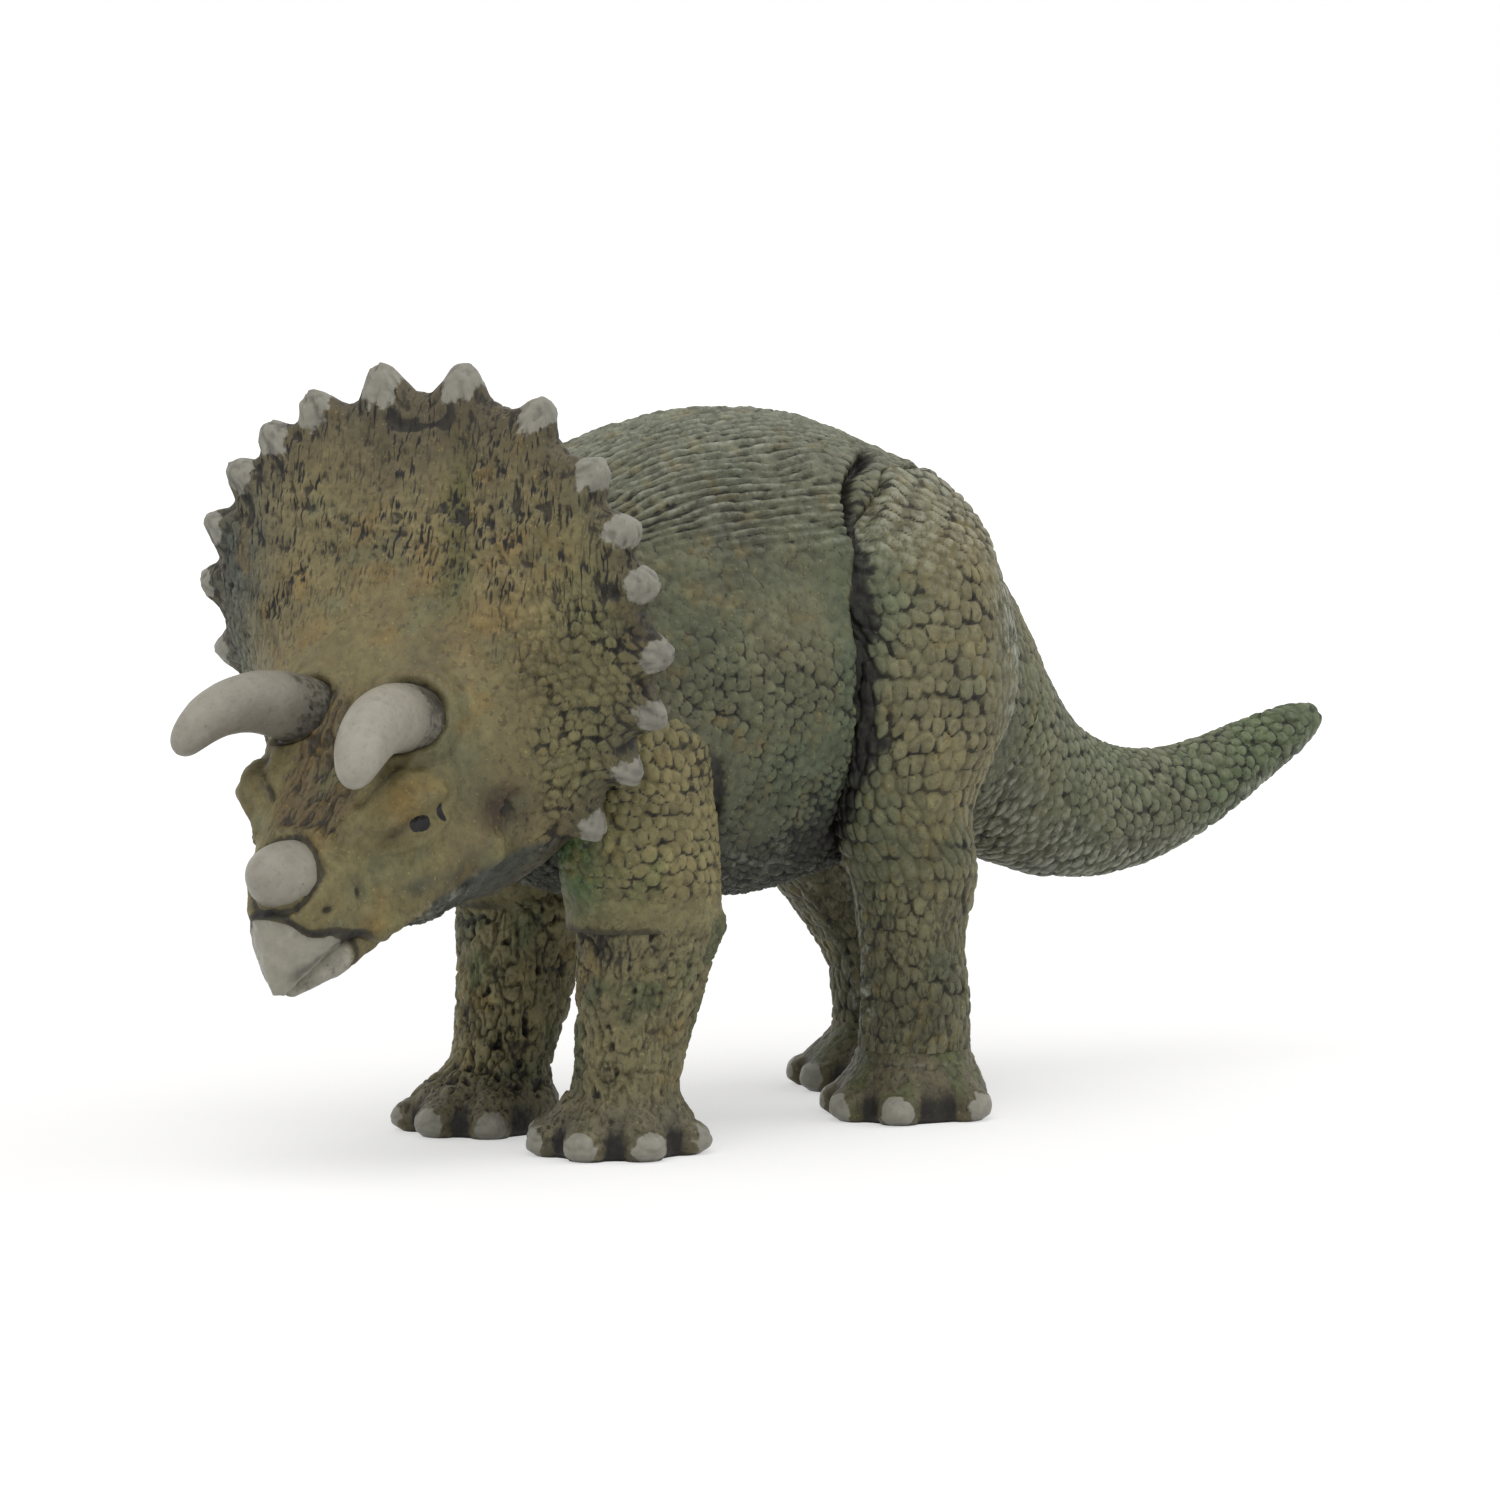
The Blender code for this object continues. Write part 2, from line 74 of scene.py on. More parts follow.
def new_material(name):
    """An empty node material, with its tree and its output."""
    made = bpy.data.materials.new(name)
    made.use_nodes = True
    made.node_tree.nodes.clear()
    return made, made.node_tree, made.node_tree.nodes.new("ShaderNodeOutputMaterial")


def node(tree, kind, settings=None, **sockets):
    """A shader node: settings are its own properties, sockets take a value or another node's output."""
    made = tree.nodes.new("ShaderNode" + kind)
    for key, value in (settings or {}).items():
        setattr(made, key, value)
    for key, value in sockets.items():
        socket = made.inputs[int(key[1:]) if key[0] == "i" and key[1:].isdigit() else key.replace("_", " ")]
        if isinstance(value, bpy.types.NodeSocket):
            tree.links.new(value, socket)
        else:
            socket.default_value = value
    return made


def larger(tree, first, second):
    """The larger of two shader values."""
    return node(tree, "Math", {"operation": "MAXIMUM"}, i0=first, i1=second).outputs[0]


def look_from(thing, turn, rise, distance):
    """Put the camera or a lamp at a turn and a rise in degrees round the aim, looking at it.

    It stands at aim + distance (sin turn cos rise, -cos turn cos rise, sin rise).
    """
    turn, rise = np.radians(turn), np.radians(rise)
    away = Vector((np.sin(turn) * np.cos(rise), -np.cos(turn) * np.cos(rise), np.sin(rise)))
    thing.location = Vector(view_aim) + away * distance
    thing.rotation_euler = away.to_track_quat("Z", "Y").to_euler()
    bpy.context.scene.collection.objects.link(thing)


camera = bpy.data.objects.new("camera", bpy.data.cameras.new("camera"))
camera.data.sensor_width = sensor_width
camera.data.lens = lens_length
camera.data.clip_start = 0.01
look_from(camera, view_turn, view_rise, view_distance)
bpy.context.scene.camera = camera
bpy.context.scene.view_settings.view_transform = "Standard"

board_white, board_tree, board_out = new_material("white_board")
path = node(board_tree, "LightPath")
seen = larger(board_tree, path.outputs["Is Camera Ray"], path.outputs["Is Glossy Ray"])
lit_share = node(board_tree, "Math", {"operation": "MULTIPLY"}, i0=seen, i1=glow_share)
board_place = node(board_tree, "TexCoord").outputs["Object"]
from_figure = node(board_tree, "VectorMath", {"operation": "LENGTH"}, i0=board_place).outputs["Value"]
glow = node(board_tree, "MapRange", {"interpolation_type": "SMOOTHSTEP"}, Value=from_figure,
            From_Min=near_board, From_Max=far_board, To_Min=near_glow, To_Max=far_glow)
board_matt = node(board_tree, "BsdfDiffuse", Color=(0.80, 0.80, 0.80, 1.0))
board_glow = node(board_tree, "Emission", Color=(1.0, 1.0, 1.0, 1.0), Strength=glow.outputs[0])
board_mix = node(board_tree, "MixShader", i0=lit_share.outputs[0], i1=board_matt.outputs[0],
                 i2=board_glow.outputs[0])
board_tree.links.new(board_mix.outputs[0], board_out.inputs["Surface"])

board_mesh = bpy.data.meshes.new("board")
board_corners = np.array(((-1, -1, 0), (1, -1, 0), (1, 1, 0), (-1, 1, 0))) * board_size / 2
board_mesh.from_pydata(board_corners.tolist(), [], [(0, 1, 2, 3)])
board_mesh.materials.append(board_white)
board = bpy.data.objects.new("board", board_mesh)
bpy.context.scene.collection.objects.link(board)

world = bpy.data.worlds.new("studio")
bpy.context.scene.world = world
world.use_nodes = True
world.node_tree.nodes.clear()
world_out = world.node_tree.nodes.new("ShaderNodeOutputWorld")
path = node(world.node_tree, "LightPath")
seen = larger(world.node_tree, path.outputs["Is Camera Ray"], path.outputs["Is Glossy Ray"])
seen = larger(world.node_tree, seen, path.outputs["Is Transmission Ray"])
sky = node(world.node_tree, "Background", Color=(1.0, 0.99, 0.97, 1.0), Strength=sky_strength)
backdrop = node(world.node_tree, "Background", Color=(1.0, 1.0, 1.0, 1.0), Strength=1.0)
world_mix = node(world.node_tree, "MixShader", i0=seen, i1=sky.outputs[0], i2=backdrop.outputs[0])
world.node_tree.links.new(world_mix.outputs[0], world_out.inputs["Surface"])


def soft_lamp(name, turn, rise, distance, width, power):
    """A square lamp that looks at the figure from a direction given as the camera's is."""
    lamp = bpy.data.objects.new(name, bpy.data.lights.new(name, "AREA"))
    lamp.data.shape = "SQUARE"
    lamp.data.size = width
    lamp.data.energy = power
    look_from(lamp, turn, rise, distance)


soft_lamp("overhead_lamp", 30, 60, 0.60, 0.50, 1.5)
soft_lamp("rear_lamp", 150, 40, 0.70, 0.35, 0.7)

# Trunk: one soft vinyl casting from chest to pelvis, covered in small flat scales that run together into long
# ridges on the back, sprayed grey green and rubbed with a dark wash that stays in every groove, with painted
# shade added on one side of each scale, behind and under the arms, in the groove before the haunch, at the groin
# and on the belly.
spine_length = 94.2 * mm
chest_reach = 31.0 * mm
back_height = 59.0 * mm
trunk_width = 30.6 * mm
tail_swing = 3.6 * mm
tail_seam_share = 0.605
top_narrowing_share = 0.13
# Station columns: along, centre height, half width, half height, tilt in degrees
trunk_shares = (
    (0.000, 0.612, 0.190, 0.120, 0.0), (0.030, 0.615, 0.320, 0.196, 0.0), (0.118, 0.625, 0.410, 0.286, 0.0),
    (0.225, 0.650, 0.470, 0.327, 0.0), (0.332, 0.662, 0.500, 0.335, 0.0), (0.417, 0.656, 0.480, 0.322, 2.0),
    (0.495, 0.626, 0.425, 0.276, 9.0), (0.558, 0.582, 0.350, 0.216, 23.0), (0.605, 0.525, 0.285, 0.164, 38.0),
    (0.650, 0.457, 0.245, 0.136, 36.0), (0.715, 0.397, 0.200, 0.112, 20.0),
    (0.800, 0.384, 0.156, 0.088, -5.0),
    (0.880, 0.424, 0.117, 0.065, -21.0), (0.950, 0.479, 0.084, 0.046, -27.0),
    (0.985, 0.505, 0.062, 0.035, -27.0), (1.000, 0.515, 0.030, 0.018, -27.0))
trunk_full_share = 0.985
tail_full_share = 0.965
arm_full_share = 0.9915
haunch_full_share = 0.981

shoulder_height = 38.5 * mm
shoulder_width = 11.4 * mm
shoulder_depth = 13.8 * mm
elbow_height = 18.0 * mm
fore_leg_y = {"left": -16.2 * mm, "right": -13.2 * mm}
fore_foot_y = {"left": -16.3 * mm, "right": -17.7 * mm}
hind_track = 10.5 * mm
hind_leg_y = 12.9 * mm
hind_foot_y = {"left": 14.3 * mm, "right": 22.9 * mm}
haunch_height = 52.5 * mm
haunch_width = 12.4 * mm
haunch_depth = 20.8 * mm
ankle_height = 5.6 * mm
# Limb columns: height, sideways place, slide from the hip to the foot, set back, half width, half depth
elbow_shares = (0.92, 0.05, 0.120, 0.425, 0.440)
ankle_shares = (0.72, 1.12, 0.000, 0.365, 0.235)
arm_shares = ((1.00, 0.56, 0.00, 0.000, 0.200, 0.220), (0.88, 0.70, 0.00, 0.000, 0.400, 0.420),
              (0.65, 0.88, 0.00, 0.000, 0.490, 0.500), (0.38, 0.98, 0.00, 0.000, 0.500, 0.500),
              (0.16, 0.98, 0.03, 0.035, 0.480, 0.490), (0.00, 0.93, 0.05, 0.100, 0.455, 0.475))
haunch_shares = ((1.00, 0.60, 0.00, -0.030, 0.180, 0.190), (0.955, 0.70, 0.00, -0.040, 0.340, 0.335),
                 (0.87, 0.86, 0.00, -0.040, 0.460, 0.420), (0.73, 0.98, 0.00, -0.030, 0.495, 0.475),
                 (0.59, 1.00, 0.03, -0.030, 0.500, 0.460), (0.47, 0.98, 0.08, -0.120, 0.475, 0.335),
                 (0.39, 0.95, 0.25, -0.125, 0.445, 0.290), (0.31, 0.91, 0.45, -0.010, 0.410, 0.268),
                 (0.21, 0.84, 0.85, -0.060, 0.365, 0.198), (0.10, 0.76, 1.10, 0.005, 0.345, 0.210),
                 (0.00, *ankle_shares))
sides = {"left": 1.0, "right": -1.0}


def glide(rows, t):
    """Uniform cubic B-spline through a station table, read at t from 0 at its first row to 1 at its last.

    Between rows 1 and 2 it is the sum of rows 0 to 3 times (1-f)^3, 3f^3-6f^2+4, -3f^3+3f^2+3f+1 and f^3,
    over 6.
    """
    rows = np.asarray(rows, float)
    rows = np.vstack((2 * rows[:1] - rows[1:2], rows, 2 * rows[-1:] - rows[-2:-1]))
    place = np.clip(np.asarray(t, float), 0, 1) * (len(rows) - 3)
    first = np.minimum(place.astype(int), len(rows) - 4)
    f = (place - first)[..., None]
    weights = ((1 - f) ** 3, 3 * f ** 3 - 6 * f ** 2 + 4, -3 * f ** 3 + 3 * f ** 2 + 3 * f + 1, f ** 3)
    return sum(weight / 6 * rows[first + k] for k, weight in enumerate(weights))


def even_steps(rows, start, end, count):
    """Values of t from start to end that cut the path of the stations into equal lengths."""
    t = np.linspace(start, end, 2000)
    walked = np.concatenate(([0], np.cumsum(np.linalg.norm(np.diff(glide(rows, t), axis=0), axis=1))))
    return np.interp(np.linspace(0, walked[-1], count), walked, t)


def ramp(value, low, high):
    """Smooth step from 0 at low to 1 at high: x^2 (3 - 2x)."""
    x = np.clip((value - low) / (high - low), 0, 1)
    return x * x * (3 - 2 * x)


def bell(value, middle, width):
    """Soft bump of 1 at the middle: exp(-((value - middle) / width)^2)."""
    return np.exp(-((value - middle) / width) ** 2)


def scatter(row, cell, seed):
    """A fixed number from 0 to 1 for each row and cell.

    It is the fraction of 43758.5 |sin(12.99 row + 78.23 cell + 37.7 seed)|.
    """
    return np.mod(np.abs(np.sin(row * 12.9898 + cell * 78.233 + seed * 37.719) * 43758.5453), 1)


def scales(points, down, turn, girth, length, width, seed, jitter=0.62):
    """Rows of scales round a body, where down is the way along it and turn goes from 0 to 1 round it.

    Every row has its own whole number of scales, next rows are half a scale apart, the rows wander, each middle
    is moved at random and the outlines are ragged. Each scale is a flat plate, sqrt(1 - (distance from its
    middle / 0.68)^4), with a furrow where it touches the next, less its mean. Returns that, the dark in the gap
    round it, a washed-in dark thickest where scales meet, with painted shade added on the side of each scale that
    lies further down, broken off here and there, and a number per scale.
    """
    row_place = (down / length + 0.5 * cloud(points, 3 * length, seed + 5, 1)
                 + 0.10 * cloud(points, 0.5 * mm, seed + 9, 1))
    turn = turn + 0.5 * width / np.maximum(girth, width) * cloud(points, 3 * width, seed + 6, 1)
    nearest = np.full(row_place.shape, 9.0)
    second = np.full(row_place.shape, 9.0)
    own = np.zeros(row_place.shape)
    past = np.zeros(row_place.shape)
    for row_step in (-1, 0, 1):
        row = np.floor(row_place) + row_step
        around = np.interp((row + 0.5) * length, down[:, 0], girth[:, 0])
        count = np.maximum(np.round(around / width), 3)
        place = turn * count + 0.5 * np.mod(row, 2)
        for cell_step in (-1, 0, 1):
            cell = np.floor(place) + cell_step
            name = np.mod(cell, count)
            off_row = row + 0.5 + jitter * (scatter(row, name, seed) - 0.5) - row_place
            off_cell = cell + 0.5 + jitter * (scatter(row, name, seed + 1) - 0.5) - place
            distance = np.hypot(off_row, off_cell)
            closer = distance < nearest
            second = np.where(closer, nearest, np.minimum(second, distance))
            own = np.where(closer, scatter(row, name, seed + 2), own)
            past = np.where(closer, -off_row, past)
            nearest = np.where(closer, distance, nearest)
    plate = np.sqrt(np.clip(1 - (nearest / 0.68) ** 4, 0, 1)) * (1 - 0.45 * bell(second, nearest, 0.20)) - 0.75
    gap = np.maximum(ramp(nearest, 0.40, 0.56), 0.95 * bell(second, nearest, 0.17))
    broken = np.clip(0.95 + 1.3 * cloud(points, 0.8 * mm, seed + 8), 0.15, 1)
    # Painted shade: the gap is darker on the side of each scale that lies further down and lighter on the other.
    dark = gap * np.clip(0.85 + 1.3 * past, 0.30, 1) * broken
    return plate, dark, own


def cloud(points, size, seed, octaves=2):
    """Smooth random field from -1 to 1: numbers at the corners of cubes of a size, blended between them.

    Each further octave is 2.03 times finer and half as strong.
    """
    total = 0.0
    for octave in range(octaves):
        place = points / size * 2.03 ** octave + 11.7 * seed
        corner = np.floor(place)
        f = place - corner
        f = f * f * (3 - 2 * f)
        value = 0.0
        for cube in range(8):
            bits = np.array((cube & 1, cube >> 1 & 1, cube >> 2 & 1))
            share = np.prod(np.where(bits, f, 1 - f), axis=-1)
            x, y, z = np.moveaxis(corner + bits, -1, 0)
            value = value + share * scatter(x + 17.3 * z, y - 9.1 * z, seed)
        total = total + (2 * value - 1) * 0.5 ** octave
    return total / (2 - 0.5 ** (octaves - 1))


def creases(points, size, seed, sharpness=0.10):
    """Thin winding lines of 1, where a smooth random field passes zero: exp(-(field / sharpness)^2)."""
    return np.exp(-(cloud(points, np.array(size), seed, 2) / sharpness) ** 2)


def off_path(points, path):
    """Distance of points from a path of straight stretches between the points given."""
    path = np.array(path, float)
    nearest = np.full(points.shape[:-1], 1.0)
    for start, end in zip(path, path[1:]):
        way = end - start
        share = np.clip((points - start) @ way / (way @ way), 0, 1)
        nearest = np.minimum(nearest, np.linalg.norm(points - start - share[..., None] * way, axis=-1))
    return nearest


def spot(points, middle, reach):
    """Soft spot of 1 at its middle: exp(-|(point - middle) / reach|^2), middle and reach on each axis in mm."""
    return np.exp(-(((points - np.array(middle) * mm) / (np.array(reach) * mm)) ** 2).sum(-1))


def mirrored(points, axis=0):
    """The same places on the left side of the body, where both sides are alike."""
    made = np.array(points)
    made[..., axis] = np.abs(made[..., axis])
    return made


def wear(points, seed):
    """How much of the washed-in dark with its painted shade, and of the rub, is left: 0.95 + 0.6 of a cloud of 3 mm,
    kept from 0.3 to 1.
    """
    return np.clip(0.95 + 0.6 * cloud(points, 3 * mm, seed), 0.3, 1)


def outward(grid):
    """Unit normals of a closed grid, square to its rows and columns and turned away from its middle."""
    around = np.roll(grid, -1, 1) - np.roll(grid, 1, 1)
    normal = np.cross(np.gradient(grid, axis=0), around)
    normal /= np.linalg.norm(normal, axis=-1, keepdims=True) + 1e-12
    away = grid - grid.mean(1, keepdims=True)
    return normal * np.sign((normal * away).sum())


def raised(grid, height):
    """A closed grid moved out along its normals by a height at every point."""
    return grid + outward(grid) * height[..., None]


def round_angles(columns):
    """Angles of the columns round a ring, from 0 to just under 2 pi, as a row."""
    return np.linspace(0, 2 * np.pi, columns, endpoint=False)[None]


def limb(rows, low, high, track, top_y, foot_y, width, depth, side, full_share):
    """Stations of a limb in metres: height, middle x, middle y, half width and half depth, the top first."""
    height, out, slide, back, half_width, half_depth = np.array(rows).T
    return np.stack((low + height * (high - low), side * out * track,
                     top_y + (foot_y - top_y) * slide + back * depth,
                     half_width * width * full_share, half_depth * depth * full_share), 1)


def off_ellipse(across, over, half_across, half_over):
    """Distance outside an ellipse: (p - 1) p / |gradient|, near enough, where p is 1 on it and 0 in its middle."""
    across, over = across / half_across, over / half_over
    p = np.hypot(across, over)
    return (p - 1) * p / (np.hypot(across / half_across, over / half_over) + 1e-9)


hip_forward = 1.6


def hip_stretch(z):
    """How much farther forward than an ellipse the haunch reaches: 1 below, rising to its most at the hip."""
    return 1 + (hip_forward - 1) * ramp(z, 38 * mm, 47 * mm)


def off_limb(points, stations, stretch=1.0):
    """Distance of points outside a limb: from its ellipse at their height, over its slope, or past its top.

    The front half of the ellipse is longer by the stretch.
    """
    z, x, y, half_width, half_depth = glide(stations, np.linspace(1, 0, 400)).T
    height = points[..., 2]
    slope = np.hypot(1, np.gradient((half_width + half_depth) / 2, z))
    found = [np.interp(height, z, column) for column in (x, y, half_width, half_depth, slope)]
    over = points[..., 1] - found[1]
    over = np.where(over < 0, over / stretch, over)
    side_way = off_ellipse(points[..., 0] - found[0], over, found[2], found[3]) / found[4]
    over_top = np.maximum(height - z[-1], 0)
    return np.where(over_top > 0, np.hypot(np.maximum(side_way, 0), over_top), side_way)


trunk_rows = np.array(trunk_shares) * (spine_length, back_height, trunk_width, back_height, np.pi / 180)
trunk_rows[:, 0] -= chest_reach


def off_trunk(points):
    """Distance of points outside the trunk, from the leaning ellipse that they lie in.

    The ellipse's place along the body is found in a few steps of place = y - (z - middle) tan lean.
    """
    y, middle, half_width, half_height, lean = glide(trunk_rows, np.linspace(0, 0.62, 400)).T
    place = points[..., 1]
    for _ in range(6):
        lean_here = np.interp(place, y, lean)
        rise = (points[..., 2] - np.interp(place, y, middle)) / np.cos(lean_here)
        place = 0.5 * place + 0.5 * (points[..., 1] - rise * np.sin(lean_here))
    across, over = (trunk_full_share * np.interp(place, y, column) for column in (half_width, half_height))
    return off_ellipse(points[..., 0], rise, across, over)


def meet(distance, reach, sink=0.6 * mm):
    """Swelling that blends two skins where they meet: (reach - |d|)^2 / 4 reach, cut off inside the other."""
    swell = np.maximum(reach - np.abs(distance), 0) ** 2 / (4 * np.maximum(reach, 0.01 * mm))
    return swell * ramp(distance, -sink, 0)


arms = {name: limb(arm_shares, elbow_height, shoulder_height, fore_track, fore_leg_y[name], fore_foot_y[name],
                   shoulder_width, shoulder_depth, side, arm_full_share) for name, side in sides.items()}
haunches = {name: limb(haunch_shares, ankle_height, haunch_height, hind_track, hind_leg_y, hind_foot_y[name],
                       haunch_width, haunch_depth, side, haunch_full_share) for name, side in sides.items()}

flank_olive = linear(100, 99, 76)
flank_green = linear(82, 94, 72)
flank_dark = linear(66, 70, 58)
back_grey = linear(116, 119, 102)
belly_shade = linear(72, 76, 64)
haunch_brown = linear(114, 110, 82)
haunch_grey = linear(100, 106, 90)
arm_brown = linear(124, 115, 77)
shin_olive = linear(82, 82, 60)
arm_green = linear(78, 97, 57)
leg_brown = linear(118, 111, 78)
patch_ochre = linear(130, 112, 64)
wash_and_shade_black = linear(27, 25, 24)
dust_grey = linear(168, 170, 156)
fleck_ochre = linear(190, 166, 104)


def layered(base, *coats):
    """Sprayed coats over a base colour: each coat is a colour and its strength from 0 to 1 at every point."""
    made = base
    for colour, strength in coats:
        made = made + (colour - made) * np.clip(strength, 0, 1)[..., None]
    return made


# Patches of other colours sprayed on both flanks: middle and reach in mm, colour and strength
body_patches = (
    ((13.5, -7.0, 49.5), (8.0, 5.0, 4.0), flank_dark, 0.60),
    ((12.0, -23.0, 49.0), (7.0, 5.0, 6.0), flank_green, 0.70),
    ((14.5, -1.0, 27.0), (9.0, 7.0, 8.0), flank_green, 0.75),
    ((15.0, -13.0, 36.0), (6.0, 4.0, 8.0), flank_dark, 0.35),
    ((15.0, 4.5, 38.0), (5.0, 2.6, 16.0), flank_green, 0.70),
    ((14.0, 16.0, 47.0), (8.0, 6.0, 5.0), patch_ochre, 0.30),
    ((15.5, 10.5, 26.0), (6.0, 5.0, 8.0), patch_ochre, 0.25),
    ((13.0, 23.0, 38.0), (8.0, 4.5, 14.0), haunch_grey, 0.85),
    ((9.0, 12.0, 9.0), (9.0, 10.0, 7.0), shin_olive, 0.80),
    ((12.0, 8.0, 22.0), (6.0, 5.0, 5.0), flank_green, 0.40),
)


def patched(coat, points, patches):
    """A coat with soft spots of other colours over it, each a middle, a reach, a colour and its strength."""
    for middle, reach, colour, strength in patches:
        coat = layered(coat, (colour, strength * spot(points, middle, reach)))
    return coat


def toned(coat, own, share):
    """A coat made darker or lighter from scale to scale, by up to a share: coat (1 - share + 2 share own)."""
    return coat * (1 - share + 2 * share * own)[..., None]


def body_coat(points):
    """Colour of the body by place: olive flank, brown haunch, grey back, painted shade on the belly, and the sprayed
    patches.
    """
    x, y, z = np.moveaxis(points, -1, 0)
    shift = 3 * mm * cloud(points, 9 * mm, 3)
    made = layered(np.broadcast_to(flank_olive, points.shape),
                   (haunch_brown, ramp(y + shift, 3 * mm, 8 * mm) * 0.9))
    made = patched(made, mirrored(points) + shift[..., None], body_patches)
    return layered(made,
                   (belly_shade, ramp(-z + shift, -34 * mm, -24 * mm) * ramp(-y, 18 * mm, 24 * mm)),
                   (back_grey, ramp(z + shift, 47 * mm, 57 * mm) * ramp(-y, -24 * mm, -12 * mm)),
                   (patch_ochre, 0.30 * ramp(cloud(points, 1.3 * mm, 8), 0.2, 0.6)),
                   (flank_green, 0.30 * ramp(-cloud(points, 4.5 * mm, 13), 0.15, 0.6)))


grain_depth = 0.07 * mm


def vinyl(name, spots=(), roughness=(0.44, 0.60), speck_share=0.35, mottle=0.20, pit_share=0.32,
          furrow_axes=(0.0, 0.0, 0.0), furrow_sizes=None):
    """Hand painted vinyl: the coat, clouded and flecked, then the rubbed tops, then washed-in dark in the grooves
    together with painted shade.

    Coat, wash_and_shade and rub come from the mesh. Each spot is an attribute, its colour and its roughness: sharp
    edged paint where the attribute passes one half, a little ragged. Furrows are long black pits of given sizes
    along turned axes, as strong as the mesh's furrow attribute.
    """
    made, tree, out = new_material(name)
    place = node(tree, "TexCoord").outputs["Object"]
    black = (*wash_and_shade_black, 1)

    def from_mesh(attribute, output="Fac"):
        return node(tree, "Attribute", {"attribute_name": attribute}).outputs[output]

    def tinted(colour, share):
        return node(tree, "VectorMath", {"operation": "SCALE"}, i0=colour, Scale=share).outputs[0]

    def noise(size, detail):
        return node(tree, "TexNoise", Vector=place, Scale=1 / size, Detail=detail, Roughness=0.6).outputs[0]

    def spread(value, low, high, least, most, kind="LINEAR"):
        return node(tree, "MapRange", {"interpolation_type": kind}, Value=value, From_Min=low, From_Max=high,
                    To_Min=least, To_Max=most).outputs[0]

    def over(strength, below, above):
        mixed = node(tree, "Mix", {"data_type": "RGBA"}, i0=strength, i6=below, i7=above)
        return mixed.outputs[2]

    def sums(operation, first, second, clamp=False):
        return node(tree, "Math", {"operation": operation, "use_clamp": clamp}, i0=first, i1=second).outputs[0]

    blotch = noise(5 * mm, 3.0)
    grain = noise(0.9 * mm, 3.0)
    speck = noise(0.28 * mm, 1.0)
    pits = noise(0.50 * mm, 2.0)
    wash_and_shade = from_mesh("wash_and_shade")
    cloudy = sums("ADD", spread(blotch, 0.3, 0.7, 1 - mottle, 1 + mottle),
                  spread(grain, 0.3, 0.7, -mottle, mottle))
    colour = tinted(from_mesh("coat", "Color"), cloudy)
    colour = over(sums("MULTIPLY", spread(speck, 0.68, 0.76, 0, 1), speck_share), colour, (*fleck_ochre, 1))
    rubbed = sums("MULTIPLY", from_mesh("rub"), spread(grain, 0.40, 0.62, 0.1, 1.1), True)
    colour = over(rubbed, colour, (*dust_grey, 1))
    # The wash_and_shade attribute, washed-in dark and painted shade together, darkens the coat towards black.
    crisp = spread(sums("ADD", wash_and_shade, spread(pits, 0.3, 0.7, -0.14, 0.14)), 0.34, 0.62, 0, 0.5, "SMOOTHSTEP")
    soaked = sums("ADD", crisp, sums("MULTIPLY", wash_and_shade, 0.5))
    colour = over(sums("MULTIPLY", soaked, spread(grain, 0.25, 0.65, 0.80, 1.05), True), colour, black)
    colour = over(spread(pits, 0.34, 0.44, pit_share, 0), colour, black)
    height = sums("ADD", grain, sums("ADD", sums("MULTIPLY", speck, 0.5), pits))
    if furrow_sizes:
        turned = node(tree, "Mapping", {"vector_type": "TEXTURE"}, Vector=place, Rotation=furrow_axes,
                      Scale=furrow_sizes).outputs[0]
        slots = node(tree, "TexNoise", Vector=turned, Scale=1.0, Detail=1.0, Roughness=0.5).outputs[0]
        deep = sums("MULTIPLY", spread(slots, 0.55, 0.66, 0, 1), from_mesh("furrow"), True)
        colour = over(deep, colour, black)
        height = sums("SUBTRACT", height, deep)
    rough = spread(grain, 0.3, 0.7, *roughness)
    for attribute, paint_colour, paint_rough in spots:
        ragged = sums("ADD", from_mesh(attribute), spread(grain, 0.3, 0.7, -0.06, 0.06))
        edge = spread(ragged, 0.47, 0.53, 0, 1, "SMOOTHSTEP")
        paint = tinted(tuple(paint_colour), spread(grain, 0.3, 0.7, 0.86, 1.10))
        colour = over(edge, colour, over(sums("MULTIPLY", wash_and_shade, 0.55), paint, black))
        rough = node(tree, "Mix", i0=edge, i2=rough, i3=paint_rough).outputs[0]
    bump = node(tree, "Bump", Strength=0.6, Distance=grain_depth, Height=height).outputs[0]
    shader = node(tree, "BsdfPrincipled", Base_Color=colour, Roughness=rough, Normal=bump, IOR=1.48,
                  Specular_IOR_Level=0.30)
    tree.links.new(shader.outputs[0], out.inputs["Surface"])
    return made


